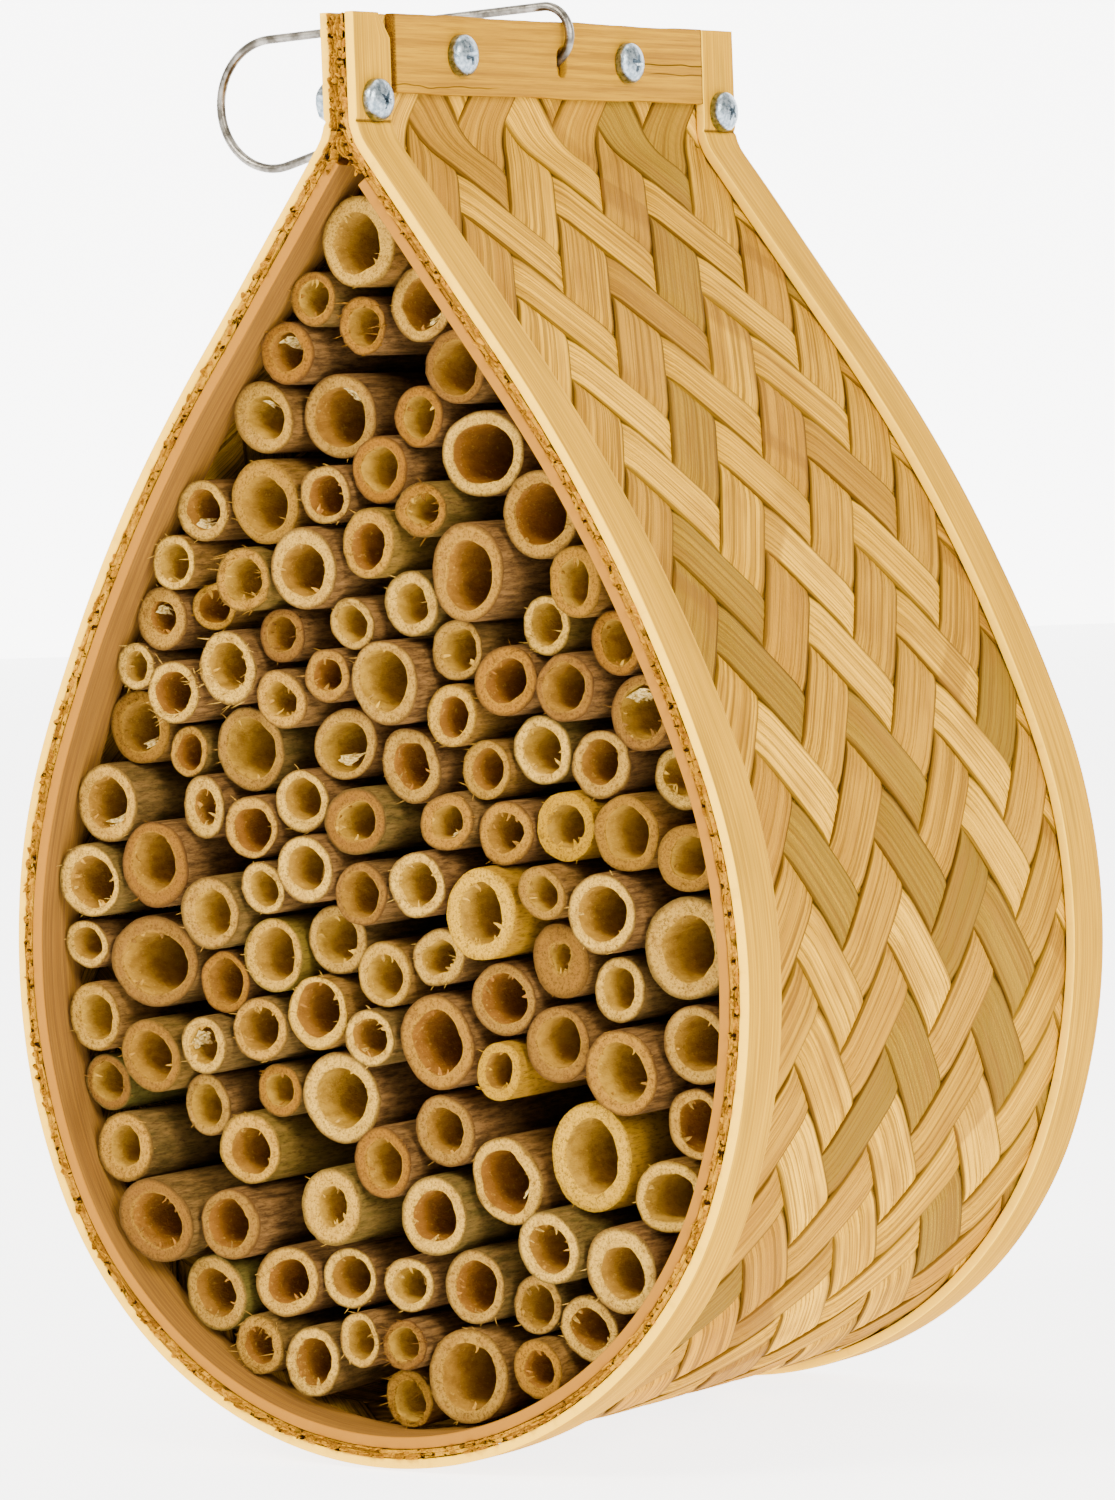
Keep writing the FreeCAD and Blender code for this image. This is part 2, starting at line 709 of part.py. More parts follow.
def settle(reeds, walls, rounds, gap):
    """Push reeds that overlap apart, and back inside the walls."""
    for turn in range(rounds):
        for n, one in enumerate(reeds):
            for other in reeds[n + 1:]:
                apart = one.radius + other.radius + gap
                across = other.x - one.x
                up = other.z - one.z
                distance = math.hypot(across, up)
                if 0 < distance < apart:
                    push = (apart - distance) / 2 / distance
                    one.x -= across * push
                    one.z -= up * push
                    other.x += across * push
                    other.z += up * push
        for reed in reeds:
            for across, up, reach in walls:
                over = reed.x * across + reed.z * up + reed.radius + gap - reach
                if over > 0:
                    reed.x -= across * over
                    reed.z -= up * over


def wall_room(reed, walls):
    """Radius at which a reed would touch the nearest wall."""
    return min(reach - reed.x * across - reed.z * up for across, up, reach in walls)


def trim_and_fill(reeds, walls, gap):
    """Thin the reeds that are still too tight, then thicken the loose ones a little."""
    for reed in reeds:
        reed.room = min(reed.radius, wall_room(reed, walls) - gap)
    for n, one in enumerate(reeds):
        for other in reeds[n + 1:]:
            distance = math.hypot(other.x - one.x, other.z - one.z) - gap
            total = one.radius + other.radius
            if distance < total:
                one.room = min(one.room, distance * one.radius / total)
                other.room = min(other.room, distance * other.radius / total)
    for reed in reeds:
        reed.radius = reed.room
    for reed in reeds:
        room = wall_room(reed, walls) - gap
        for other in reeds:
            if other is not reed:
                distance = math.hypot(other.x - reed.x, other.z - reed.z)
                room = min(room, distance - other.radius - gap)
        reed.radius = min(room, reed.radius * size("reed_growth"))


def hollow_area(walls):
    """Area of the hollow, from its width at even heights."""
    slices = 200
    top = shoulder_point(0, size("hollow_inset")).y
    bottom = belly.point(-90, size("hollow_inset")).y
    depth = (top - bottom) / slices
    return sum(2 * max(0, room_at(top - (n + 0.5) * depth, walls)) * depth for n in range(slices))


def packed_reeds():
    """Reeds settled in the hollow, all thicker or thinner in step with its area."""
    walls = wall_lines()
    gap = size("reed_gap")
    reeds = lay_courses(walls)
    filled = sum(math.pi * reed.radius ** 2 for reed in reeds)
    scale = math.sqrt(size("reed_packing") * hollow_area(walls) / filled)
    print(f"reeds: {len(reeds)}, scale {scale:.3f}")
    picked = [reed.radius * scale for reed in reeds]
    for stage in range(1, swell_stages + 1):
        share = first_share + (1 - first_share) * stage / swell_stages
        for reed, radius in zip(reeds, picked):
            reed.radius = radius * share
        settle(reeds, walls, stage_rounds, gap)
    settle(reeds, walls, last_rounds, gap)
    trim_and_fill(reeds, walls, gap)
    return reeds


def reed_course(course, reeds):
    """All tubes of one course, side by side, with their back ends on the panel."""
    label = f"reed_course_{course + 1:02d}"
    sketch = doc.addObject("Sketcher::SketchObject", label + "_ends")
    sketch.Placement = FreeCAD.Placement(V(0, 0, 0), FreeCAD.Rotation(V(1, 0, 0), 90))
    for reed in reeds:
        thick = (reed.course, reed.number) in thick_walled
        share = size("thick_bore_share" if thick else "reed_bore_share")
        for radius in (reed.radius, reed.radius * share):
            sketch.addGeometry(Part.Circle(V(reed.x, reed.z, 0), V(0, 0, 1), radius), False)
    tubes = doc.addObject("Part::Extrusion", label)
    tubes.Base = sketch
    tubes.DirMode = "Custom"
    tubes.Dir = V(0, 1, 0)
    tubes.Solid = True
    tubes.FaceMakerClass = "Part::FaceMakerBullseye"
    deeper = course * depth_stride % depth_steps / (depth_steps - 1)
    front = f"(Sizes.front_rim + Sizes.reed_recess + {deeper} * Sizes.reed_recess_spread)"
    tubes.setExpression("LengthFwd", "Sizes.panel_front - " + front)
    move(tubes, y=front)
    return keep(tubes, label)


# ---------------------------------------------------------------- the whole hotel

woven_wall()
front_hoop = outer_hoop("front_outer_hoop", "(Sizes.front_rim + Sizes.hoop_width)")
cut_strap_corner(front_hoop)
outer_hoop("rear_outer_hoop", "Sizes.rear_rim")
inner_hoop("front_inner_hoop", "(Sizes.front_rim + Sizes.hoop_width)")
inner_hoop("rear_inner_hoop", "Sizes.rear_rim")
neck_batten("right_neck_batten", 1)
neck_batten("left_neck_batten", -1)
group("neck_screws", [screw(n, *place) for n, place in enumerate(screw_places, start=1)])
group("neck_nuts", [nut(n, *place) for n, place in enumerate(screw_places, start=1)])
wire_hanger()
back_panel()
all_reeds = packed_reeds()
for number in range(len(courses)):
    reed_course(number, [reed for reed in all_reeds if reed.course == number])

doc.recompute()
for item in doc.Objects:
    if "Invalid" in item.State or "Error" in item.State:
        raise RuntimeError(f"{item.Label} failed: {item.State}")
os.makedirs("parts", exist_ok=True)
for part in subparts:
    if part.Shape.isNull() or not part.Shape.isValid():
        raise RuntimeError(f"{part.Label} has no valid shape")
    part.Shape.exportStep(os.path.join("parts", part.Label + ".step"))
    print(part.Label, len(part.Shape.Solids), round(part.Shape.Volume, 1))
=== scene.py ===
import math
import random

import bmesh
import bpy
import numpy as np
from mathutils import Matrix, Vector, noise


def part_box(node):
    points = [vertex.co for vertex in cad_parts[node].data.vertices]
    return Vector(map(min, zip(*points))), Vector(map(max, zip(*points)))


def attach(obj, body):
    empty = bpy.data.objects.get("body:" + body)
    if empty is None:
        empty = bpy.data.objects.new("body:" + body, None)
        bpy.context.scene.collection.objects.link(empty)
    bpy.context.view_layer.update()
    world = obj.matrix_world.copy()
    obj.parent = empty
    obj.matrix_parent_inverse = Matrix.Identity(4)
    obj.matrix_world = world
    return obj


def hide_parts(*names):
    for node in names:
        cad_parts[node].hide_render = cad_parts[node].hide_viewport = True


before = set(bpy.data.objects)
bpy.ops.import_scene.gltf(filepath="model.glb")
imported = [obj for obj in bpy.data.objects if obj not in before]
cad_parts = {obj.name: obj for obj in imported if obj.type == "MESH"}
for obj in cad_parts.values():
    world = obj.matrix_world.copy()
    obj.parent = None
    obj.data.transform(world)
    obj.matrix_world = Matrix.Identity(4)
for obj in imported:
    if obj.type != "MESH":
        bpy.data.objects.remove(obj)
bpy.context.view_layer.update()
mm = 0.001
dice = random.Random(11)


hoopLow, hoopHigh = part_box("front_outer_hoop")
matLow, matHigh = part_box("woven_wall")

teardrop = {
    "width": (hoopHigh.x - hoopLow.x) / mm,
    "height": (hoopHigh.z - hoopLow.z) / mm,
    "neckHalf": 3.85,
    "neckHeight": 19.5,
    "bendRadius": 9,
    "shoulder": 51,
    "sideRadius": 117,
    "sideAngle": math.radians(21),
    "step": 0.1,
}


def teardropRuns(turn):
    # Each run as its first heading, last heading and length, and the height that they make.
    t = teardrop
    side = t["sideAngle"]
    flat = t["sideRadius"] * (1 - math.cos(side))
    room = (t["width"] / 2 - t["neckHalf"] - t["bendRadius"] * (1 - math.cos(turn)) - flat
            - t["shoulder"] * math.sin(turn))
    flank = room / (math.cos(side) - math.cos(turn))
    belly = (t["width"] / 2 - flat) / math.cos(side)
    runs = [
        (0, 0, t["neckHeight"]),
        (0, turn, t["bendRadius"] * turn),
        (turn, turn, t["shoulder"]),
        (turn, side, flank * (turn - side)),
        (side, -side, t["sideRadius"] * 2 * side),
        (-side, -math.pi / 2, belly * (math.pi / 2 - side)),
    ]
    drop = (t["neckHeight"] + t["bendRadius"] * math.sin(turn) + t["shoulder"] * math.cos(turn)
            + flank * (math.sin(turn) - math.sin(side)) + t["sideRadius"] * 2 * math.sin(side)
            + belly * (1 - math.sin(side)))
    return runs, drop


def solveTurn():
    # The neck's turn that gives the outline its height.
    steep, flat = teardrop["sideAngle"] + 0.01, 1.4
    for _ in range(60):
        middle = (steep + flat) / 2
        if teardropRuns(middle)[1] > teardrop["height"]:
            steep = middle
        else:
            flat = middle
    return steep


class Outline:
    # The outer face of the hoops, from the right end of the neck top round to the left end.

    def __init__(self):
        runs, _ = teardropRuns(solveTurn())
        self.bendStart = runs[0][2]
        self.shoulderStart = runs[0][2] + runs[1][2]
        half = sum(length for _, _, length in runs)
        count = int(half / teardrop["step"])
        s = np.linspace(0, half, count + 1)
        starts = np.cumsum([0] + [length for _, _, length in runs])
        headings = [runs[0][0]] + [end for _, end, _ in runs]
        heading = np.interp(s, starts, headings)
        middle = (heading[1:] + heading[:-1]) / 2
        step = half / count
        x = teardrop["neckHalf"] + np.concatenate([[0], np.cumsum(np.sin(middle) * step)])
        z = hoopHigh.z / mm - np.concatenate([[0], np.cumsum(np.cos(middle) * step)])
        normalX, normalZ = np.cos(heading), np.sin(heading)
        self.length = 2 * half
        self.s = np.concatenate([s, 2 * half - s[-2::-1]])
        self.x = np.concatenate([x, -x[-2::-1]])
        self.z = np.concatenate([z, z[-2::-1]])
        self.normalX = np.concatenate([normalX, -normalX[-2::-1]])
        self.normalZ = np.concatenate([normalZ, normalZ[-2::-1]])

    def point(self, s, inset):
        s = np.asarray(s, float)
        x = np.interp(s, self.s, self.x) - np.interp(s, self.s, self.normalX) * inset
        z = np.interp(s, self.s, self.z) - np.interp(s, self.s, self.normalZ) * inset
        return x * mm, z * mm


outline = Outline()
frontRim = matLow.y / mm
rearRim = matHigh.y / mm
depth = rearRim - frontRim
creases = (outline.bendStart + 0.9, outline.length - outline.bendStart - 0.9)
print("outline", round(outline.length, 1), "mm round")



def wave(value, seed, scale):
    # A slow uneven wave of about 1 each way; scale is its length.
    value = np.asarray(value, float)
    flatValues = value.ravel() / scale
    result = np.zeros(len(flatValues))
    rng = np.random.RandomState(int(seed * 977) % 100000)
    for octave in (1, 2.3, 5.1):
        phase = rng.uniform(0, 6.28)
        result += np.sin(flatValues * octave * 2.1 + phase) / octave
    return result.reshape(value.shape) / 1.6


def addObject(name, data):
    made = bpy.data.objects.new(name, data)
    bpy.context.scene.collection.objects.link(made)
    return made


def dress(piece, nodeName, slotName, *looks):
    for look in looks:
        piece.data.materials.append(look)
    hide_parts(nodeName)


def shadeFaces(work, angle):
    # Smooth faces; edges that turn by more than the angle stay sharp.
    for face in work.faces:
        face.smooth = True
    for edge in work.edges:
        if edge.is_manifold and edge.calc_face_angle(0) > math.radians(angle):
            edge.smooth = False


def makeMesh(name, vertices, faces, body, attributes=None, faceMaterial=None, angle=35):
    mesh = bpy.data.meshes.new(name)
    mesh.from_pydata(np.asarray(vertices, float).tolist(), [], faces)
    for key, values in (attributes or {}).items():
        layer = mesh.attributes.new(key, "FLOAT", "POINT")
        layer.data.foreach_set("value", np.asarray(values, np.float32))
    if faceMaterial is not None:
        mesh.polygons.foreach_set("material_index", np.asarray(faceMaterial, np.int32))
    mesh.validate()
    work = bmesh.new()
    work.from_mesh(mesh)
    bmesh.ops.recalc_face_normals(work, faces=work.faces)
    shadeFaces(work, angle)
    work.to_mesh(mesh)
    work.free()
    piece = addObject(name, mesh)
    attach(piece, body)
    return piece


class Builder:
    # Gathers vertices, faces and per-vertex values, then makes one mesh of them.

    def __init__(self):
        self.vertices = []
        self.faces = []
        self.materials = []
        self.attributes = {}
        self.count = 0

    def add(self, points, faces, materials, **attributes):
        points = np.asarray(points, float).reshape(-1, 3)
        self.vertices.append(points)
        for face in faces:
            self.faces.append([corner + self.count for corner in face])
        if not isinstance(materials, list):
            materials = [materials] * len(faces)
        self.materials.extend(materials)
        for key, value in attributes.items():
            values = np.broadcast_to(np.asarray(value, float).ravel(), (len(points),))
            self.attributes.setdefault(key, []).append(values)
        self.count += len(points)

    def rings(self, rings, materials, capMaterial=None, closed=False, **attributes):
        # rings is (rows, ringPoints, 3); materials is one index or one per row of faces
        rows, around = rings.shape[:2]
        faces, used = [], []
        last = rows if closed else rows - 1
        for row in range(last):
            below = (row + 1) % rows
            for n in range(around):
                after = (n + 1) % around
                faces.append([row * around + n, row * around + after,
                              below * around + after, below * around + n])
                used.append(materials[row] if isinstance(materials, (list, tuple)) else materials)
        if not closed:
            cap = capMaterial if capMaterial is not None else used[0]
            faces.append(list(range(around))[::-1])
            faces.append([(rows - 1) * around + n for n in range(around)])
            used.extend([cap, cap])
        self.add(rings, faces, used, **attributes)

    def make(self, name, body, angle=35):
        values = {key: np.concatenate(parts) for key, parts in self.attributes.items()}
        return makeMesh(name, np.concatenate(self.vertices), self.faces, body, values,
                        self.materials, angle)


def roundedSection(halfWidth, thickness, radius, across):
    # Across the width from -halfWidth to halfWidth; the height runs from 0 down to thickness.
    points = []
    side, base = halfWidth - radius, thickness - radius
    corners = [(-side, radius, 180), (side, radius, 270), (side, base, 0), (-side, base, 90)]
    for corner, (centreX, centreY, start) in enumerate(corners):
        for n in range(4):
            angle = math.radians(start + 30 * n)
            points.append((centreX + radius * math.cos(angle), centreY + radius * math.sin(angle)))
        if corner in (0, 2):
            endX = corners[(corner + 1) % 4][0]
            y = 0 if corner == 0 else thickness
            for n in range(1, across):
                points.append((centreX + (endX - centreX) * n / across, y))
    return np.array(points)



lighting = {"level": 2.8, "most": 0.86}


def linear(*channels):
    # Base colour that shows as this display colour under the studio lights and the film curve,
    # which pales bright colours.
    values = [channel / 255 for channel in channels]
    values = [v / 12.92 if v <= 0.04045 else ((v + 0.055) / 1.055) ** 2.4 for v in values]
    bright = 0.2126 * values[0] + 0.7152 * values[1] + 0.0722 * values[2]
    level = bright * math.exp(2.6 * bright ** 2.6) / lighting["level"]
    rise = 0.9 + 1.7 * bright
    fall = min(2.7, 1 + 0.46 * (max(0, bright - 0.22) / 0.1) ** 1.9)
    ratios = [max(v, 0.002) / bright for v in values]
    result = []
    for ratio in ratios:
        depth = 1 + (fall - 1) * min(1, (1 - ratio) / 0.5) ** 2
        result.append(level * ratio ** (rise if ratio > 1 else depth))
    too = max(1, max(result) / lighting["most"])
    return tuple(max(0.002, value / too) for value in result)


def feed(tree, socket, value):
    if isinstance(value, Signal):
        tree.links.new(value.socket, socket)
    elif isinstance(value, tuple) and len(value) == 3 and socket.type == "RGBA":
        socket.default_value = value + (1,)
    else:
        socket.default_value = value


class Signal:
    def __init__(self, tree, socket):
        self.tree = tree
        self.socket = socket

    def node(self, kind, settings=None, inputs=None, output=0):
        made = self.tree.nodes.new(kind)
        for key, value in (settings or {}).items():
            setattr(made, key, value)
        for key, value in (inputs or {}).items():
            feed(self.tree, made.inputs[key], value)
        return Signal(self.tree, made.outputs[output])

    def maths(self, operation, first, second=0.0):
        return self.node("ShaderNodeMath", {"operation": operation}, {0: first, 1: second})

    def __add__(self, other):
        return self.maths("ADD", self, other)

    def __radd__(self, other):
        return self.maths("ADD", other, self)

    def __sub__(self, other):
        return self.maths("SUBTRACT", self, other)

    def __rsub__(self, other):
        return self.maths("SUBTRACT", other, self)

    def __mul__(self, other):
        return self.maths("MULTIPLY", self, other)

    def __rmul__(self, other):
        return self.maths("MULTIPLY", other, self)

    def __truediv__(self, other):
        return self.maths("DIVIDE", self, other)

    def __rtruediv__(self, other):
        return self.maths("DIVIDE", other, self)

    def __pow__(self, other):
        return self.maths("POWER", self, other)

    def size(self):
        return self.maths("ABSOLUTE", self)

    def between(self, low, high):
        inputs = {"Value": self, "From Min": low, "From Max": high}
        return self.node("ShaderNodeMapRange", {"interpolation_type": "SMOOTHSTEP"}, inputs)

    def blend(self, first, second, mode="MIX"):
        settings = {"data_type": "RGBA", "blend_type": mode}
        return self.node("ShaderNodeMix", settings, {0: self, 6: first, 7: second}, 2)

    def value(self, name):
        return self.node("ShaderNodeAttribute", {"attribute_name": name}, None, 2)

    def random(self, step):
        return self.node("ShaderNodeTexWhiteNoise", {"noise_dimensions": "1D"}, {"W": self + step})

    def place(self, axis):
        spot = self.node("ShaderNodeTexCoord", None, None, 3)
        return self.node("ShaderNodeSeparateXYZ", None, {0: spot}, axis)

    def grain(self, x, y, z, scale=1.0, detail=3.0, roughness=0.6):
        spot = self.node("ShaderNodeCombineXYZ", None, {0: x, 1: y, 2: z})
        inputs = {"Vector": spot, "Scale": scale, "Detail": detail, "Roughness": roughness}
        return self.node("ShaderNodeTexNoise", None, inputs)


def startMaterial(name):
    material = bpy.data.materials.new(name)
    material.use_nodes = True
    return material, Signal(material.node_tree, None)


def finishMaterial(material, colour, roughness, height=None, distance=0.1, metal=0.0, coat=0.0):
    tree = material.node_tree
    principled = tree.nodes["Principled BSDF"]
    feed(tree, principled.inputs["Base Color"], colour)
    feed(tree, principled.inputs["Roughness"], roughness)
    feed(tree, principled.inputs["Metallic"], metal)
    feed(tree, principled.inputs["Coat Weight"], coat)
    principled.inputs["IOR"].default_value = 1.5 if metal else 1.04
    if height is not None:
        bump = height.node("ShaderNodeBump", None, {"Height": height, "Distance": distance * mm})
        feed(tree, principled.inputs["Normal"], bump)
    return material


def lathMaterial(name, side, pale, edge, node):
    # along and across are in mm, rim is 1 on the narrow edges, seed is one number per lath
    material, start = startMaterial(name)
    along, across, rim, seed = (start.value(key) for key in ("along", "across", "rim", "seed"))
    streaks = start.grain(along * 0.02, across * 1.6, seed * 7)
    fine = start.grain(along * 0.09, across * 7, seed * 3, detail=4)
    patches = start.grain(along * 0.03, across * 0.12, seed * 5, detail=2)
    colour = streaks.between(0.3, 0.72).blend(side, pale)
    colour = (patches.between(0.45, 0.8) * 0.5).blend(colour, node)
    colour = (fine.between(0.4, 0.75) * 0.22).blend(colour, linear(150, 108, 60))
    # Painted shade: a dark line drawn along each crease of the laths, away from their narrow edges.
    for crease in creases:
        line = (along - crease).size().between(0.4, 0.14) * (1 - rim)
        colour = (line * 0.8).blend(colour, linear(98, 64, 26))
    colour = (rim * 0.9).blend(colour, edge)
    fibre = start.grain(along * 0.25, across * 5, seed, detail=4)
    colour = (rim * fibre.between(0.5, 0.85) * 0.5).blend(colour, linear(196, 150, 88))
    height = fine * 0.6 + streaks * 0.7 + rim * fibre * 0.8
    return finishMaterial(material, colour, 0.42 + fine * 0.15 + rim * 0.2, height, 0.16)


hoops = {
    "thickness": 2.0,
    "innerInset": 3.9,
    "innerThickness": 2.3,
    "corner": 0.35,
    "across": 8,
    "creaseDepth": 0.4,
    "creaseWidth": 0.45,
    "edgeWobble": 0.22,
    "faceWobble": 0.12,
    "crown": 0.1,
    "step": 1.6,
    "stepShort": 5,
    "cutBack": 3.7,
    "cutDown": 4.8,
}


def hoopStations(start, end):
    stations = list(np.arange(start, end, hoops["step"]))
    for middle in creases:
        if start < middle < end:
            stations.extend(middle + np.linspace(-1.6, 1.6, 15))
    if start == 0:
        stations.extend([hoops["cutDown"] / 2, hoops["cutDown"]])
    return np.unique(np.round(np.array(stations + [end]), 3))


def hoop(name, nodeName, seed, outer, cutCorner=False):
    low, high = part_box(nodeName)
    width = (high.y - low.y) / mm
    middle = (high.y + low.y) / 2 / mm
    if outer:
        thickness, inset, start, end = hoops["thickness"], 0, 0, outline.length
    else:
        thickness, inset = hoops["innerThickness"], hoops["innerInset"]
        start = outline.shoulderStart + hoops["stepShort"]
        end = outline.length - outline.shoulderStart
    stations = hoopStations(start, end)
    section = roundedSection(width / 2, thickness, hoops["corner"], hoops["across"])
    rings = np.zeros((len(stations), len(section), 3))
    along = np.zeros(rings.shape[:2])
    across = np.zeros_like(along)
    rim = np.zeros_like(along)
    for row, s in enumerate(stations):
        y = section[:, 0] + wave(s, seed, 45) * hoops["edgeWobble"] * np.sign(section[:, 0])
        inward = section[:, 1].copy()
        outerFace = 1 - inward / thickness
        lift = wave(s, seed + 1, 60) * hoops["faceWobble"] + wave(y + s * 0.1, seed + 2, 5) * 0.04
        inward -= outerFace * (lift + hoops["crown"] * (1 - (section[:, 0] / (width / 2)) ** 2))
        if outer:
            for crease in creases:
                fold = math.exp(-((s - crease) / hoops["creaseWidth"]) ** 2)
                inward += outerFace * hoops["creaseDepth"] * fold
        else:
            inward = np.maximum(inward, 0)
        if cutCorner and s < hoops["cutDown"]:
            limit = width / 2 - hoops["cutBack"] * (1 - s / hoops["cutDown"])
            y = np.where(y > 0, y * limit / (width / 2), y)
        x, z = outline.point(s, inset + inward)
        rings[row] = np.stack([x, (middle + y) * mm, z], 1)
        along[row], across[row] = s, section[:, 0]
        rim[row] = (np.abs(section[:, 0]) > width / 2 - 0.2).astype(float)
    build = Builder()
    build.rings(rings, 0, along=along, across=across, rim=rim, seed=seed)
    return build.make(name, "hotel", 40)


paleLath = lathMaterial("pale_lath", linear(200, 160, 66), linear(222, 186, 88),
                        linear(244, 216, 128), linear(178, 144, 54))
pinkLath = lathMaterial("pink_lath", linear(160, 118, 58), linear(190, 146, 78),
                        linear(194, 144, 62), linear(136, 96, 46))
for pieceName, seed, outer, cut, look, slotName in (
        ("front_outer_hoop", 1, True, True, paleLath, "pale_lath"),
        ("rear_outer_hoop", 2, True, False, paleLath, "pale_lath"),
        ("front_inner_hoop", 3, False, False, pinkLath, "pink_lath"),
        ("rear_inner_hoop", 4, False, False, pinkLath, "pink_lath")):
    lath = hoop(pieceName.replace("hoop", "lath"), pieceName, seed, outer, cut)
    dress(lath, pieceName, slotName, look)
print("hoops done")


weave = {
    "alongPitch": 20.0,
    "acrossPitch": 16.5,
    "phase": 4.125,
    "stripWidth": 12.42,
    "stripThickness": 0.74,
    "inset": 2.95,
    "lift": 0.4,
    "bulge": 0.3,
    "crown": 0.1,
    "clampedAtRim": 12.5,
    "clampedAtNeck": 20,
    "easeOut": (6, 8),
    "splinters": 1500,
    "neckSplinters": 420,
    "rows": 106,
}


def weaveHeight(turn):
    # 1 where a strip is over, -1 where it is under; over for two crossings, under for two
    away = np.abs((turn - 0.5 + 2) % 4 - 2)
    return np.cos(np.clip((away - 0.72) / 0.56, 0, 1) * math.pi)


def stripRange(s, y, alongS, alongY):
    # How far a line through (s, y) can run while it stays on the mat.
    low, high = -1e9, 1e9
    for value, rate, least, most in ((s, alongS, 0, outline.length), (y, alongY, 0, depth)):
        first, second = (least - value) / rate, (most - value) / rate
        low, high = max(low, min(first, second)), min(high, max(first, second))
    return low, high


def strip(build, family, index, seed):
    pitchS, pitchY = weave["alongPitch"], weave["acrossPitch"]
    sign = 1 if family == "a" else -1
    reach = math.hypot(pitchS, pitchY)
    alongS, alongY = pitchS / reach, sign * pitchY / reach
    sideS, sideY = pitchY / reach, -sign * pitchS / reach
    # a point on the middle line of this strip, at the front rim
    baseS = (index + sign * weave["phase"] / pitchY) * pitchS
    width = weave["stripWidth"] + dice.uniform(-0.2, 0.12)
    shift = dice.uniform(-0.06, 0.06)
    fractions = np.array([-1, -0.965, -0.86, -0.45, 0, 0.45, 0.86, 0.965, 1])
    columns = []
    for fraction in fractions:
        offset = fraction * width / 2 + shift
        s0, y0 = baseS + sideS * offset, sideY * offset
        low, high = stripRange(s0, y0, alongS, alongY)
        if high - low < 3:
            return
        low -= dice.uniform(-0.5, 0.7)
        high += dice.uniform(-0.5, 0.7)
        columns.append((s0, y0, low, high))
    rows = weave["rows"]
    share = np.linspace(0, 1, rows)[:, None]
    s0, y0, low, high = (np.array(values)[None, :] for values in zip(*columns))
    travel = low + (high - low) * share
    s = s0 + alongS * travel
    y = y0 + alongY * travel
    across = np.broadcast_to(fractions[None, :] * width / 2, s.shape)
    phase = y + weave["phase"]
    u = s / pitchS - phase / pitchY
    v = s / pitchS + phase / pitchY
    height = weaveHeight(v - index) if family == "a" else -weaveHeight(index - u)
    fromRim = np.minimum(y, depth - y)
    rimEase, neckEase = weave["easeOut"]
    fromNeck = np.minimum(s, outline.length - s) - weave["clampedAtNeck"]
    free = (np.clip((fromRim - weave["clampedAtRim"]) / rimEase, 0, 1)
            * np.clip(fromNeck / neckEase, 0, 1))
    lift = weave["lift"] * height * (1 + 0.25 * free) + weave["bulge"] * free
    edge = np.abs(fractions)[None, :] ** 4
    crown = weave["crown"] * (1 - edge) * free
    half = weave["stripThickness"] / 2
    halves = half * (1 - 0.45 * (np.abs(fractions)[None, :] > 0.99))
    s = s + wave(travel, seed, 30) * 0.14
    inset = weave["inset"] - lift - crown
    topX, topZ = outline.point(np.clip(s, 0.05, outline.length - 0.05), inset - halves)
    lowX, lowZ = outline.point(np.clip(s, 0.05, outline.length - 0.05), inset + halves)
    yWorld = (frontRim + y) * mm
    top = np.stack([topX, yWorld, topZ], 2)
    under = np.stack([lowX, yWorld, lowZ], 2)[:, ::-1]
    rings = np.concatenate([top, under], 1)
    along, across = (np.concatenate([values, values[:, ::-1]], 1)
                     for values in (np.broadcast_to(travel, s.shape), across))
    build.rings(rings, 0, 1, along=along, across=across, seed=seed)


matBuilders = {}
for family in ("a", "b"):
    matBuilders[family] = Builder()
    extra = int(depth / weave["acrossPitch"]) + 2
    count = int(outline.length / weave["alongPitch"]) + 1
    first, last = (-extra, count) if family == "a" else (0, count + extra)
    for index in range(first, last + 1):
        strip(matBuilders[family], family, index, dice.uniform(0, 100) + (family == "b") * 100)


def rimFibres():
    # Splinters that stand out of the cut mat all round both rims, in its two layers.
    build = Builder()
    for number in range(weave["splinters"] + weave["neckSplinters"]):
        atFront = dice.random() < 0.7
        s = dice.uniform(outline.bendStart, outline.length - outline.bendStart)
        inset = weave["inset"] + dice.choice([-0.5, 0.4]) + dice.uniform(-0.4, 0.4)
        if number >= weave["splinters"]:
            s = dice.uniform(0.8, outline.shoulderStart + 3)
            inset = weave["inset"] + dice.uniform(-0.8, 0.75 if s < outline.bendStart else 2.2)
            if outline.point(s, inset)[0] < 0.1 * mm:
                continue
            s = dice.choice([s, outline.length - s])
        lean, out = dice.uniform(-1.6, 1.6), dice.uniform(-0.5, 0.5)
        long = dice.uniform(0.4, 1.3)
        width, thick = dice.uniform(0.2, 1.1), dice.uniform(0.08, 0.25)
        rings = []
        for share, taper in ((-0.8, 1), (0.5, 0.75), (1, 0.15)):
            y = (-share if atFront else share) * long + (0 if atFront else depth)
            ring = []
            for side, deep in ((-1, -1), (1, -1), (1, 1), (-1, 1)):
                x, z = outline.point(s + lean * share * long * 0.5 + side * width * taper,
                                     inset + out * share * long * 0.4 + deep * thick * taper)
                ring.append((float(x), (frontRim + y) * mm, float(z)))
            rings.append(ring)
        build.rings(np.array(rings), 0, along=dice.uniform(0, 50), across=dice.uniform(-4, 4),
                    seed=dice.uniform(0, 100))
    return build.make("mat_rim_splinters", "hotel", 60)


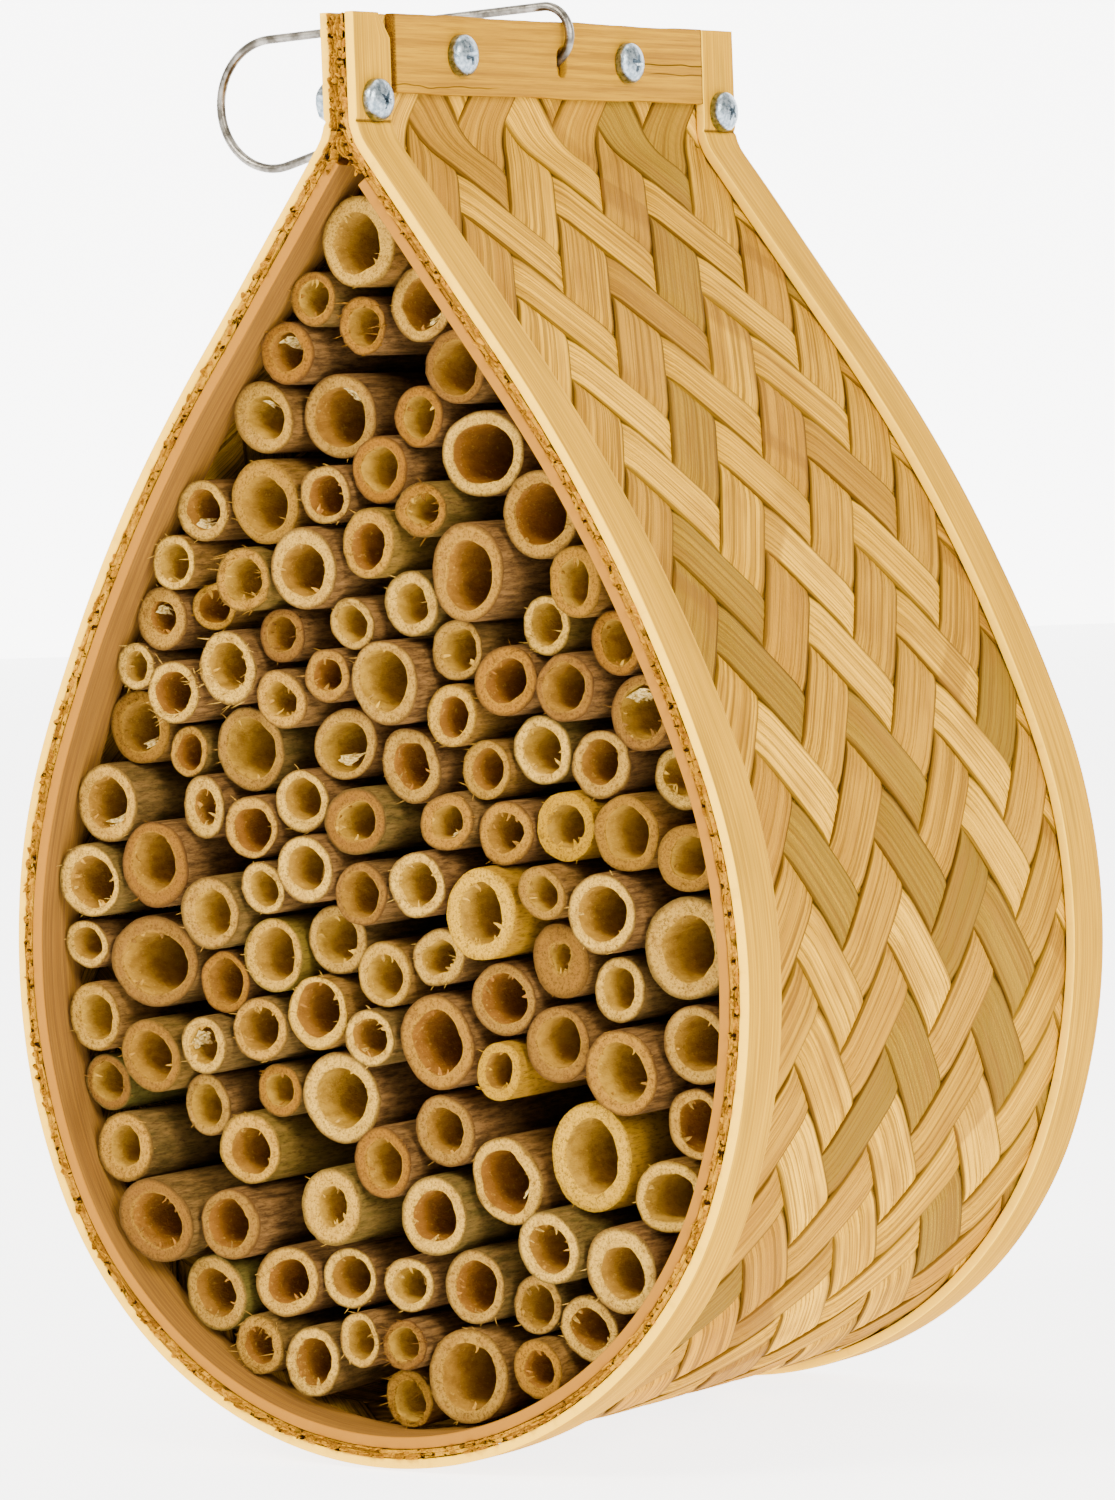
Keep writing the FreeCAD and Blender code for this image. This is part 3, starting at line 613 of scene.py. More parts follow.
def stripMaterial():
    material, start = startMaterial("bamboo_strip")
    along, across, seed = (start.value(key) for key in ("along", "across", "seed"))
    streaks = start.grain(along * 0.012, across * 0.9, seed, detail=4)
    fine = start.grain(along * 0.01, across * 1.9, seed, detail=4, roughness=0.75)
    blotch = start.grain(along * 0.05, across * 0.15, seed, detail=2)
    colour = streaks.between(0.32, 0.7).blend(linear(201, 158, 66), linear(231, 196, 106))
    colour = (seed.random(0.0).between(0.3, 1.0) * 0.6).blend(colour, linear(237, 204, 120))
    colour = (seed.random(5.0).between(0.5, 1.0) * 0.7).blend(colour, linear(185, 138, 54))
    colour = (seed.random(9.0).between(0.86, 0.88) * 0.85).blend(colour, linear(157, 130, 42))
    colour = (seed.random(14.0).between(0.8, 0.95) * 0.45).blend(colour, linear(215, 164, 84))
    # Painted shade: the strips of family b are drawn a little darker, as if their fibres caught
    # less light.
    colour = (seed.between(99, 101) * 0.16).blend(colour, linear(181, 142, 50))
    colour = (blotch.between(0.45, 0.75) * 0.5).blend(colour, linear(177, 130, 48))
    lines = fine.between(0.5, 0.57)
    colour = (lines * 0.7).blend(colour, linear(152, 110, 34))
    # Painted shade along both edges of each strip, darkest just inside the edge, where the strips
    # meet.
    colour = (across.size().between(5.0, 6.2) * 0.5).blend(colour, linear(129, 88, 24))
    colour = (across.size().between(5.5, 5.9) * 0.6).blend(colour, linear(92, 58, 16))
    knuckle = start.grain(along * 0.05 + seed * 9, seed, 0, detail=0).between(0.7, 0.74)
    colour = (knuckle * 0.45).blend(colour, linear(161, 114, 42))
    height = fine * 0.8 + streaks * 0.7 + knuckle * 0.4
    return finishMaterial(material, colour, 0.46 + fine * 0.16, height, 0.6)


def matEndMaterial():
    material, start = startMaterial("mat_cut_end")
    x, z, seed = start.place(0), start.place(2), start.value("seed")
    rough = start.grain(x * 1400, 0.0, z * 1400, detail=5, roughness=0.75)
    cracks = start.grain(x * 600, 3.0, z * 600, detail=3)
    colour = rough.between(0.35, 0.65).blend(linear(176, 126, 36), linear(218, 172, 66))
    colour = (seed.random(2.0).between(0.3, 1.0) * 0.6).blend(colour, linear(226, 186, 84))
    colour = (seed.random(7.0).between(0.6, 0.9) * 0.7).blend(colour, linear(146, 94, 30))
    colour = cracks.between(0.55, 0.64).blend(colour, linear(58, 34, 12))
    return finishMaterial(material, colour, 0.8, rough + cracks, 0.5)


stripLook, endLook = stripMaterial(), matEndMaterial()
for family, builder in matBuilders.items():
    mat = builder.make("woven_strips_" + family, "hotel", 50)
    dress(mat, "woven_wall", "woven_mat", stripLook, endLook)
dress(rimFibres(), "woven_wall", "woven_mat", endLook)
print("mat done")


battens = {
    "corner": 0.3,
    "wobble": 0.16,
    "pointStep": 2.5,
    "slotWidth": 3.6,
    "slotTop": -2.5,
    "slotBottom": -8.39,
    "slotSteps": 8,
}


def planarPiece(name, outlinePoints, holes, thickness, bevel, seed):
    # Flat board in the YZ plane made from an outline and its holes, centred on x = 0.
    curve = bpy.data.curves.new(name, "CURVE")
    curve.dimensions = "2D"
    curve.fill_mode = "BOTH"
    for points in [outlinePoints] + holes:
        spline = curve.splines.new("POLY")
        spline.points.add(len(points) - 1)
        for point, (y, z) in zip(spline.points, points):
            point.co = (y, z, 0, 1)
        spline.use_cyclic_u = True
    curve.extrude = thickness / 2 - bevel
    curve.bevel_depth = bevel
    curve.bevel_resolution = 2
    curve.offset = -bevel
    holder = addObject(name, curve)
    bpy.context.view_layer.update()
    graph = bpy.context.evaluated_depsgraph_get()
    mesh = bpy.data.meshes.new_from_object(holder.evaluated_get(graph))
    bpy.data.objects.remove(holder)
    work = bmesh.new()
    work.from_mesh(mesh)
    bmesh.ops.remove_doubles(work, verts=work.verts, dist=1e-6)
    seedLayer = work.verts.layers.float.new("seed")
    for vertex in work.verts:
        y, z, x = vertex.co
        vertex.co = (x, y, z)
        vertex[seedLayer] = seed
    bmesh.ops.recalc_face_normals(work, faces=work.faces)
    shadeFaces(work, 40)
    work.to_mesh(mesh)
    work.free()
    return addObject(name, mesh)


def slotOutline():
    low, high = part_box("wire_hanger")
    centre, half = (low.y + high.y) / 2, battens["slotWidth"] / 2 * mm
    top, bottom = battens["slotTop"] * mm, battens["slotBottom"] * mm
    points = []
    for middle, start in ((top - half, 0), (bottom + half, 180)):
        for n in range(battens["slotSteps"] + 1):
            turn = math.radians(start + 180 * n / battens["slotSteps"])
            points.append((centre + half * math.cos(turn), middle + half * math.sin(turn)))
    return points


def batten(nodeName, seed):
    low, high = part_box(nodeName)
    corners = [(low.y, low.z), (high.y, low.z), (high.y, high.z), (low.y, high.z)]
    points = []
    for (y0, z0), (y1, z1) in zip(corners, corners[1:] + corners[:1]):
        steps = max(3, int(math.hypot(y1 - y0, z1 - z0) / (battens["pointStep"] * mm)))
        for n in range(steps):
            share = n / steps
            y, z = y0 + (y1 - y0) * share, z0 + (z1 - z0) * share
            wobble = float(wave(share * 100 + seed * 9, seed, 14)) * battens["wobble"] * mm
            if y0 == y1:
                points.append((y + wobble * 0.6, z))
            else:
                points.append((y, z + wobble))
    piece = planarPiece(nodeName + "_slat", points, [slotOutline()], (high.x - low.x),
                        battens["corner"] * mm, seed)
    piece.data.transform(Matrix.Translation(((low.x + high.x) / 2, 0, 0)))
    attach(piece, "hotel")
    return piece


def battenMaterial():
    material, start = startMaterial("batten_bamboo")
    x, y, z = (start.place(axis) / mm for axis in range(3))
    seed = start.value("seed")
    streaks = start.grain(x * 0.5, y * 0.015, z * 0.9 + seed, detail=4)
    fine = start.grain(x * 3, y * 0.05, z * 3.2 + seed, detail=5, roughness=0.75)
    colour = streaks.between(0.3, 0.7).blend(linear(188, 146, 58), linear(212, 174, 80))
    colour = (fine.between(0.42, 0.7) * 0.6).blend(colour, linear(156, 108, 44))
    drift = start.grain(y * 0.06, 0.0, seed, detail=2) * 1.6
    crackOne = (z + 4.2 + drift).size().between(0.16, 0.04) * y.between(24, 27)
    crackTwo = (z + 7.6 - drift).size().between(0.13, 0.03) * y.between(30, 36)
    crackThree = (z + 9.4 + drift * 2).size().between(0.12, 0.03) * y.between(-20, -30)
    crack = crackOne + crackTwo * 0.8 + crackThree * 0.7
    colour = (crack * 0.85).blend(colour, linear(70, 40, 18))
    low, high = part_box("right_neck_batten")
    ends = ((y - (low.y + high.y) / 2 / mm).size() - (high.y - low.y) / 2 / mm).between(-0.9, -0.1)
    pores = start.grain(x * 4, 0.0, z * 4, detail=3).between(0.35, 0.65)
    colour = (ends * (0.55 + pores * 0.4)).blend(colour, linear(92, 50, 20))
    height = fine * 0.8 + streaks * 0.6 - crack * 2
    return finishMaterial(material, colour, 0.44 + fine * 0.15, height, 0.2)


battenLook = battenMaterial()
for nodeName, seed in (("right_neck_batten", 1.0), ("left_neck_batten", 2.0)):
    dress(batten(nodeName, seed), nodeName, "batten", battenLook)
print("battens done")



def components(nodeName):
    # The points of each separate solid of a CAD node.
    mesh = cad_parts[nodeName].data
    parent = list(range(len(mesh.vertices)))

    def root(n):
        while parent[n] != n:
            parent[n] = parent[parent[n]]
            n = parent[n]
        return n

    spots = {}
    for vertex in mesh.vertices:
        key = tuple(round(c * 1e5) for c in vertex.co)
        if key in spots:
            parent[root(vertex.index)] = root(spots[key])
        else:
            spots[key] = vertex.index
    for polygon in mesh.polygons:
        first = root(polygon.vertices[0])
        for other in polygon.vertices[1:]:
            parent[root(other)] = first
    groups = {}
    for vertex in mesh.vertices:
        groups.setdefault(root(vertex.index), []).append(tuple(vertex.co))
    return [np.array(points) for points in groups.values()]


screws = {
    "headRadius": 4.0, "headHeight": 2.8, "rimHeight": 0.9, "shank": 2.0, "segments": 48,
    "recessLength": 4.6, "recessWidth": 1.05, "recessDepth": 1.7, "threadPitch": 0.7,
    "threadDepth": 0.28, "tipChamfer": 0.6, "soften": 0.1,
}
nuts = {"flats": 7.0, "height": 3.2, "bore": 2.05, "mouth": 0.25, "turns": [0.2, 0.75, 0.4, 0.95]}


def latheAlongX(profile, segments):
    turns = np.linspace(0, 2 * math.pi, segments, endpoint=False)
    rings = np.zeros((len(profile), segments, 3))
    for row, (x, radius) in enumerate(profile):
        rings[row, :, 0] = x
        rings[row, :, 1] = radius * np.cos(turns)
        rings[row, :, 2] = radius * np.sin(turns)
    return rings


def screwMesh(smooth, threaded):
    # A screw along X with its head's seat at 0: a smooth shank, then a threaded end.
    s = screws
    profile = []
    for n in range(13):
        turn = n / 12 * math.pi / 2
        radius = s["headRadius"] * math.sin(turn)
        x = s["rimHeight"] + (s["headHeight"] - s["rimHeight"]) * math.cos(turn) ** 0.9
        profile.append((x, max(radius, 0.02)))
    profile += [(s["rimHeight"] * 0.5, s["headRadius"]), (0.12, s["headRadius"] - 0.02),
                (0, s["headRadius"] - 0.15), (0, s["shank"]), (-smooth, s["shank"])]
    x, end = -smooth, -smooth - threaded
    while x > end + s["threadPitch"]:
        profile += [(x - s["threadPitch"] * 0.5, s["shank"] - s["threadDepth"]),
                    (x - s["threadPitch"], s["shank"])]
        x -= s["threadPitch"]
    profile += [(end + 0.1, s["shank"] - 0.35), (end, s["shank"] - s["tipChamfer"]), (end, 0.02)]
    build = Builder()
    build.rings(latheAlongX(profile, s["segments"]) * mm, 0)
    head = build.make("screw_blank", "hotel", 40)
    cutter = bmesh.new()
    for turn in (0, math.pi / 2):
        box = bmesh.ops.create_cube(cutter, size=1)["verts"]
        for vertex in box:
            deep = vertex.co.x < 0
            long = s["recessLength"] * (0.5 if deep else 1)
            wide = s["recessWidth"] * (0.7 if deep else 1)
            y, z = vertex.co.y * long, vertex.co.z * wide
            x = s["headHeight"] + (-s["recessDepth"] if deep else 0.6)
            vertex.co = Vector((x, y * math.cos(turn) - z * math.sin(turn),
                                y * math.sin(turn) + z * math.cos(turn))) * mm
    toolMesh = bpy.data.meshes.new("screw_cutter")
    cutter.to_mesh(toolMesh)
    cutter.free()
    tool = addObject("screw_cutter", toolMesh)
    cut = head.modifiers.new("recess", "BOOLEAN")
    cut.operation = "DIFFERENCE"
    cut.solver = "EXACT"
    cut.use_self = True
    cut.object = tool
    bevel = head.modifiers.new("soften", "BEVEL")
    bevel.width = s["soften"] * mm
    bevel.segments = 2
    bevel.limit_method = "ANGLE"
    bevel.angle_limit = math.radians(50)
    bpy.context.view_layer.update()
    graph = bpy.context.evaluated_depsgraph_get()
    result = bpy.data.meshes.new_from_object(head.evaluated_get(graph))
    bpy.data.objects.remove(tool)
    bpy.data.objects.remove(head)
    return result


def joinFasteners(name, meshes, nodeName, look):
    work = bmesh.new()
    for mesh in meshes:
        work.from_mesh(mesh)
    shadeFaces(work, 38)
    joined = bpy.data.meshes.new(name)
    work.to_mesh(joined)
    work.free()
    piece = addObject(name, joined)
    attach(piece, "hotel")
    dress(piece, nodeName, "zinc", look)


def zincMaterial():
    material, start = startMaterial("zinc")
    x, y, z = (start.place(axis) / mm for axis in range(3))
    spots = start.grain(x * 1.2, y * 1.2, z * 1.2, detail=4)
    fine = start.grain(x * 9, y * 9, z * 9, detail=2)
    colour = spots.between(0.35, 0.7).blend((0.13, 0.17, 0.2), (0.38, 0.44, 0.5))
    return finishMaterial(material, colour, 0.2 + spots * 0.2, spots + fine * 0.3, 0.06, metal=1.0)


def nutMesh():
    # A nut along X from its seat at 0, with both ends of its hexagon and its bore chamfered.
    height, bore, mouth = nuts["height"], nuts["bore"], nuts["mouth"]
    turns = np.linspace(0, 2 * math.pi, screws["segments"], endpoint=False)
    apothem = nuts["flats"] / 2
    hexRadius = apothem / np.cos((turns + math.pi / 6) % (math.pi / 3) - math.pi / 6)
    flatTop = apothem * 0.97
    drop = (hexRadius - flatTop) * math.tan(math.radians(30))
    rows = [(bore + mouth, 0), (flatTop, 0), (hexRadius, drop), (hexRadius, height - drop),
            (flatTop, height), (bore + mouth, height), (bore, height - mouth), (bore, mouth)]
    rings = np.zeros((len(rows), len(turns), 3))
    for row, (radius, x) in enumerate(rows):
        rings[row] = np.stack([0 * turns - x, radius * np.cos(turns), radius * np.sin(turns)], 1)
    build = Builder()
    build.rings(rings * mm, 0, closed=True)
    piece = build.make("nut_blank", "hotel", 25)
    mesh = piece.data
    bpy.data.objects.remove(piece)
    return mesh


def middleOf(points):
    low, high = points.min(0), points.max(0)
    return (low[1] + high[1]) / 2, (low[2] + high[2]) / 2


screwMeshes = []
for points in components("neck_screws"):
    seat = points[:, 0].max() / mm - screws["headHeight"]
    smooth = 2 * seat + nuts["height"]
    mesh = screwMesh(smooth, seat - points[:, 0].min() / mm - smooth)
    mesh.transform(Matrix.Rotation(dice.uniform(0, 1.5), 4, "X"))
    mesh.transform(Matrix.Translation((seat * mm, *middleOf(points))))
    screwMeshes.append(mesh)
nutMeshes = []
for points, turn in zip(components("neck_nuts"), nuts["turns"]):
    mesh = nutMesh()
    mesh.transform(Matrix.Rotation(turn, 4, "X"))
    mesh.transform(Matrix.Translation((points[:, 0].max(), *middleOf(points))))
    nutMeshes.append(mesh)
zincLook = zincMaterial()
joinFasteners("pan_head_screws", screwMeshes, "neck_screws", zincLook)
joinFasteners("hex_nuts", nutMeshes, "neck_nuts", zincLook)
print("fasteners done")


wire = {"radius": 0.9, "bend": 5.79, "end": 13, "reach": 67, "droop": math.radians(8.5),
        "jointStart": 17, "jointGap": 1.5, "around": 20}


def wirePath():
    # From the joint along the lower run, round the far end, back and round the neck's bar.
    w = wire
    spread = math.asin((w["end"] - w["bend"]) / w["reach"])

    def place(along, above):
        tilt = w["droop"]
        return np.array([-along * math.cos(tilt) - above * math.sin(tilt),
                         -along * math.sin(tilt) + above * math.cos(tilt)])

    def arc(centre, radius, start, end, steps):
        turns = np.linspace(start, end, steps)
        return [place(centre + radius * math.cos(turn), radius * math.sin(turn)) for turn in turns]

    leave = math.pi / 2 + spread
    low = arc(0, w["bend"], -leave, -leave, 1)[0]
    far = arc(w["reach"], w["end"], -leave, -leave, 1)[0]
    run = (far - low) / np.linalg.norm(far - low)
    first, last = low + run * (w["jointStart"] + w["jointGap"]), low + run * w["jointStart"]
    points = [first + (far - first) * share for share in np.linspace(0, 1, 12)[:-1]]
    points += arc(w["reach"], w["end"], -leave, leave, 48)
    near = arc(0, w["bend"], leave, leave, 1)[0]
    points += [points[-1] + (near - points[-1]) * share for share in np.linspace(0, 1, 20)[1:-1]]
    points += arc(0, w["bend"], leave, 2 * math.pi - leave, 40)
    points += [low + (last - low) * share for share in np.linspace(0, 1, 8)[1:]]
    return np.array(points)


def wireHanger():
    path = wirePath()
    tangent = np.gradient(path, axis=0)
    tangent /= np.linalg.norm(tangent, axis=1)[:, None]
    side = np.stack([-tangent[:, 1], tangent[:, 0]], 1)
    turns = np.linspace(0, 2 * math.pi, wire["around"], endpoint=False)
    low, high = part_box("wire_hanger")
    middle = (low.y + high.y) / 2 / mm
    rings = []
    travelled = np.concatenate([[0], np.cumsum(np.linalg.norm(np.diff(path, axis=0), axis=1))])
    last, full, cut = len(path) - 1, wire["radius"], wire["radius"] * 0.7
    stations = [(0, cut, 0), (0, full, 0.15)]  # the wire's cut ends are chamfered
    stations += [(n, full, 0) for n in range(1, last)]
    stations += [(last, full, -0.15), (last, cut, 0)]
    for n, radius, ahead in stations:
        centre = path[n] + tangent[n] * ahead
        ring = [(centre[0] + side[n, 0] * radius * math.cos(turn), middle + radius * math.sin(turn),
                 centre[1] + side[n, 1] * radius * math.cos(turn)) for turn in turns]
        rings.append(ring)
    rings = np.array(rings) * mm
    build = Builder()
    along = np.repeat([travelled[n] for n, _, _ in stations], wire["around"])
    build.rings(rings, 0, along=along)
    return build.make("wire_loop", "hanger", 40)


def wireMaterial():
    material, start = startMaterial("nickel_wire")
    x, y, z = (start.place(axis) / mm for axis in range(3))
    cloud = start.grain(x * 0.3, y * 0.3, z * 0.3, detail=3)
    scratch = start.grain(start.value("along") * 0.3, y * 6, z * 6, detail=3)
    colour = cloud.between(0.35, 0.7).blend((0.07, 0.062, 0.05), (0.3, 0.28, 0.25))
    return finishMaterial(material, colour, 0.2 + scratch * 0.2, scratch, 0.05, metal=1.0)


dress(wireHanger(), "wire_hanger", "wire", wireMaterial())
print("hanger done")


reeds = {
    "around": 40,
    "frontSpread": 1.6,
    "tilt": 0.05,
    "ovals": [0.02, 0.04, 0.07, 0.12],
    "flattened": {"flat": 0.22, "yellowFlat": 0.17},
    "offCentre": 0.09,
    "wallShare": (0.72, 1.05),
    "boreRows": (1.2, 3, 7, 14, 26, 45),
    "frayedFibres": 34,
    "fibres": (4, 14),
    "flakes": (2, 8),
    "scrapRows": 7,
    "scrapColumns": 9,
    # course and place in the course, both from 0, of the reeds that differ from the rest
    "special": {
        (1, 1): "frayed", (1, 2): "papery", (2, 0): "papery", (3, 0): "papery",
        (4, 4): "frayed", (5, 1): "frayed", (6, 0): "papery", (7, 1): "frayed",
        (7, 2): "frayed", (8, 0): "papery", (8, 3): "papery", (9, 1): "flat",
        (9, 5): "papery", (9, 7): "yellow", (10, 6): "square", (10, 7): "yellow",
        (11, 3): "green", (12, 7): "yellow", (13, 0): "green", (13, 5): "yellowFlat",
        (14, 3): "papery", (15, 3): "papery", (16, 0): "green", (16, 3): "papery",
        (17, 0): "frayed", (17, 3): "frayed", (18, 0): "frayed",
    },
}


def ringWave(turns, seed):
    # An uneven wave round a ring, which meets itself.
    rng = np.random.RandomState(int(seed * 613) % 100000)
    return sum(np.sin(k * turns + rng.uniform(0, 6.28)) / k for k in (2, 3, 4, 6, 9))


def ringPoints(centre, radii, turns, y):
    return np.stack([centre[0] + radii * np.cos(turns), y, centre[1] + radii * np.sin(turns)], 1)


def ringPoint(centre, radius, turn, y):
    return np.array([centre[0] + radius * math.cos(turn), y, centre[1] + radius * math.sin(turn)])


def reedRadii(outer, bore, kind, seed, turns):
    # The radii of the barrel and of the bore all round: oval, a little cornered, off centre.
    oval = dice.choice(reeds["ovals"])
    lean = dice.uniform(0, math.pi)
    if kind in reeds["flattened"]:
        oval, lean = reeds["flattened"][kind], math.pi / 2
    corners = dice.choice([3, 4, 5])
    corner = 0.05 if kind == "square" else dice.uniform(0, 0.035)
    if kind == "square":
        corners = 4
    shape = 1 - oval * (0.5 - 0.5 * np.cos(2 * (turns - lean)))
    shape -= corner * (0.5 + 0.5 * np.cos(corners * turns + seed))
    shape -= 0.011 * (1 + ringWave(turns, seed))
    barrel = outer * shape
    off = dice.uniform(0, reeds["offCentre"]) * outer
    offTurn = dice.uniform(0, 6.28)
    uneven = 1 + 0.1 * ringWave(turns, seed + 1)
    wall = (outer - bore) * uneven * dice.uniform(*reeds["wallShare"])
    hole = barrel - wall + off * np.cos(turns - offTurn)
    if kind in reeds["flattened"]:
        hole -= 0.1 * outer * np.clip(-np.sin(turns), 0, 1)
    return barrel, hole


def reed(build, points, kind):
    low, high = points.min(0) / mm, points.max(0) / mm
    centre = np.array([(low[0] + high[0]) / 2, (low[2] + high[2]) / 2])
    outer = (high[0] - low[0]) / 2
    bore = np.hypot(points[:, 0] / mm - centre[0], points[:, 2] / mm - centre[1]).min()
    seed = dice.uniform(0, 100)
    around = reeds["around"]
    turns = np.linspace(0, 2 * math.pi, around, endpoint=False)
    barrel, hole = reedRadii(outer, bore, kind, seed, turns)
    tilt = reeds["tilt"]
    tiltX, tiltZ = dice.uniform(-tilt, tilt), dice.uniform(-tilt, tilt)
    front = low[1] + dice.uniform(-reeds["frontSpread"], reeds["frontSpread"])
    back = high[1]
    torn = 0.4 if kind == "frayed" else dice.uniform(0.12, 0.3)
    rows, looks, depths, places = [], [], [], []

    def row(radii, y, look, place):
        # place is 1 on the barrel and 0 in the bore, with the cut face between them
        rows.append(ringPoints(centre, radii, turns, y))
        looks.append(look)
        depths.append(y - front)
        places.append(np.full(around, place))

    def straight(radii, depthAt, look, place):
        row(radii, np.full(around, front + depthAt), look, place)

    def cut(radii, lift, rough):
        jag = ringWave(turns * 5, seed + 2) + ringWave(turns * 2, seed + 3 + radii[0])
        slant = tiltX * radii * np.cos(turns) + tiltZ * radii * np.sin(turns)
        return front + lift + jag * rough * 0.6 + slant

    for share in (1, 0.5, 0.25):
        straight(barrel, (back - front) * share, 0, 1)
    straight(barrel, 14.0, 0, 1)
    straight(barrel * 0.998, 5.0, 0, 1)
    row(barrel * 0.996, cut(barrel, 1.2, 0), 0, 1)
    row(barrel * 0.992, cut(barrel, 0.25, torn), 1, 1)
    for share in (0.04, 0.2, 0.4, 0.6, 0.8, 0.96):
        radii = barrel + (hole - barrel) * share
        dish = 0.06 * math.sin(share * math.pi * 3 + seed)
        row(radii, cut(radii, 0.02 + dish, torn), 1, 1 - share)
    row(hole, cut(hole, 0.3, torn), 2, 0)
    for depthAt in reeds["boreRows"]:
        straight(hole * (1 + 0.02 * ringWave(turns, seed + 4 + depthAt)), depthAt, 2, 0)
    row(hole * 0.99, np.full(around, back), 0, 0)

    green = {"green": 1, "yellow": 0, "yellowFlat": 0.3}.get(kind, max(0, dice.uniform(-0.9, 0.55)))
    yellow = 1 if kind in ("yellow", "yellowFlat") else max(0, dice.uniform(-0.6, 0.3))
    values = {"seed": seed, "green": green, "yellow": yellow}
    build.rings(np.array(rows) * mm, looks, closed=True, depth=np.array(depths),
                ring=np.array(places), **values)
    mouth = {"centre": centre, "barrel": barrel, "hole": hole, "turns": turns, "front": front}
    if kind == "frayed":
        for _ in range(reeds["frayedFibres"]):
            fray(build, mouth, values)
    elif dice.random() < 0.75:
        for _ in range(dice.randint(*reeds["fibres"])):
            fray(build, mouth, values, 0.55)
    if dice.random() < 0.6:
        for _ in range(dice.randint(*reeds["flakes"])):
            flake(build, mouth, values)
    if kind == "papery" or dice.random() < 0.05:
        scrap(build, mouth, values)


def fray(build, mouth, values, share=1.0):
    # A loose fibre at the cut face: a thin tapered spike with a triangular section.
    n = dice.randrange(len(mouth["turns"]))
    turn, bore, wall = mouth["turns"][n], mouth["hole"][n], mouth["barrel"][n] - mouth["hole"][n]
    radius = bore + wall * dice.choice([0.1, 0.9, 0.95, dice.random()])
    root = ringPoint(mouth["centre"], radius, turn, mouth["front"] + 0.6)
    length = dice.uniform(0.8, 3.2) * share
    aim = np.array([math.cos(turn) * dice.uniform(-0.7, 0.7) + dice.uniform(-0.4, 0.4), -1,
                    math.sin(turn) * dice.uniform(-0.7, 0.7) + dice.uniform(-0.4, 0.4)])
    aim /= np.linalg.norm(aim)
    side = np.cross(aim, [0.3, 0.2, 0.9])
    side /= np.linalg.norm(side)
    other = np.cross(aim, side)
    width = dice.uniform(0.08, 0.2)
    bend = side * dice.uniform(-0.5, 0.5)
    rings = []
    for along, taper in ((0, 1), (0.4, 0.8), (0.75, 0.5), (1, 0.12)):
        middle = root + aim * (along * (length + 0.6)) + bend * along ** 2
        rings.append([middle + (side * math.cos(a) + other * math.sin(a)) * width * taper
                      for a in (0, 2.09, 4.19)])
    build.rings(np.array(rings) * mm, 1, depth=0, ring=0.7, **values)


def flake(build, mouth, values):
    # A torn flap at the edge of a bore, reaching inwards.
    n = dice.randrange(len(mouth["turns"]))
    turn = mouth["turns"][n]
    root = ringPoint(mouth["centre"], mouth["hole"][n] + 0.15, turn,
                     mouth["front"] + dice.uniform(0.1, 1.4))
    aim = np.array([-math.cos(turn) + dice.uniform(-0.5, 0.5), dice.uniform(-0.5, 0.8),
                    -math.sin(turn) + dice.uniform(-0.5, 0.5)])
    aim /= np.linalg.norm(aim)
    side = np.array([-math.sin(turn), 0, math.cos(turn)])
    other = np.cross(aim, side)
    long = dice.uniform(0.5, 1.9)
    width, thick = dice.uniform(0.2, 0.55), 0.07
    rings = []
    for along, taper in ((0, 1), (0.35, 0.85), (0.7, 0.55), (1, 0.15)):
        middle = root + aim * along * long + other * along ** 2 * dice.uniform(-0.5, 0.5)
        rings.append([middle + side * a * width * taper + other * b * thick
                      for a, b in ((-1, -1), (1, -1), (1, 1), (-1, 1))])
    build.rings(np.array(rings) * mm, dice.choice([1, 2]), depth=0, ring=0.7, **values)


def scrap(build, mouth, values):
    # A crumpled piece of the reed's white lining, hanging in its mouth.
    rowCount, columns = reeds["scrapRows"], reeds["scrapColumns"]
    start = dice.uniform(0, 6.28)
    wide = dice.uniform(0.7, 1.5)
    top, under = [], []
    for i in range(rowCount):
        for j in range(columns):
            turn = start + wide * (i / (rowCount - 1) - 0.5)
            inward = j / (columns - 1)
            crumple = noise.noise(Vector((turn * 2.2, inward * 2.6, values["seed"])))
            radius = mouth["hole"].min() * (1.0 - inward * (0.42 + 0.3 * crumple))
            y = mouth["front"] + 1.2 + 5.5 * inward * (0.6 + 0.5 * crumple) + crumple * 0.9
            turn += inward * crumple * 0.8
            point = ringPoint(mouth["centre"], radius, turn, y)
            top.append(point)
            under.append(point + np.array([0, 0.12, 0]))
    faces = []
    total = rowCount * columns
    for i in range(rowCount - 1):
        for j in range(columns - 1):
            corner = i * columns + j
            quad = [corner, corner + 1, corner + columns + 1, corner + columns]
            faces.append(quad)
            faces.append([n + total for n in quad[::-1]])
    border = ([j for j in range(columns)]
              + [i * columns + columns - 1 for i in range(1, rowCount)]
              + [(rowCount - 1) * columns + j for j in range(columns - 2, -1, -1)]
              + [i * columns for i in range(rowCount - 2, 0, -1)])
    for here, after in zip(border, border[1:] + border[:1]):
        faces.append([after, here, here + total, after + total])
    build.add(np.array(top + under) * mm, faces, 3, depth=0, ring=0, **values)


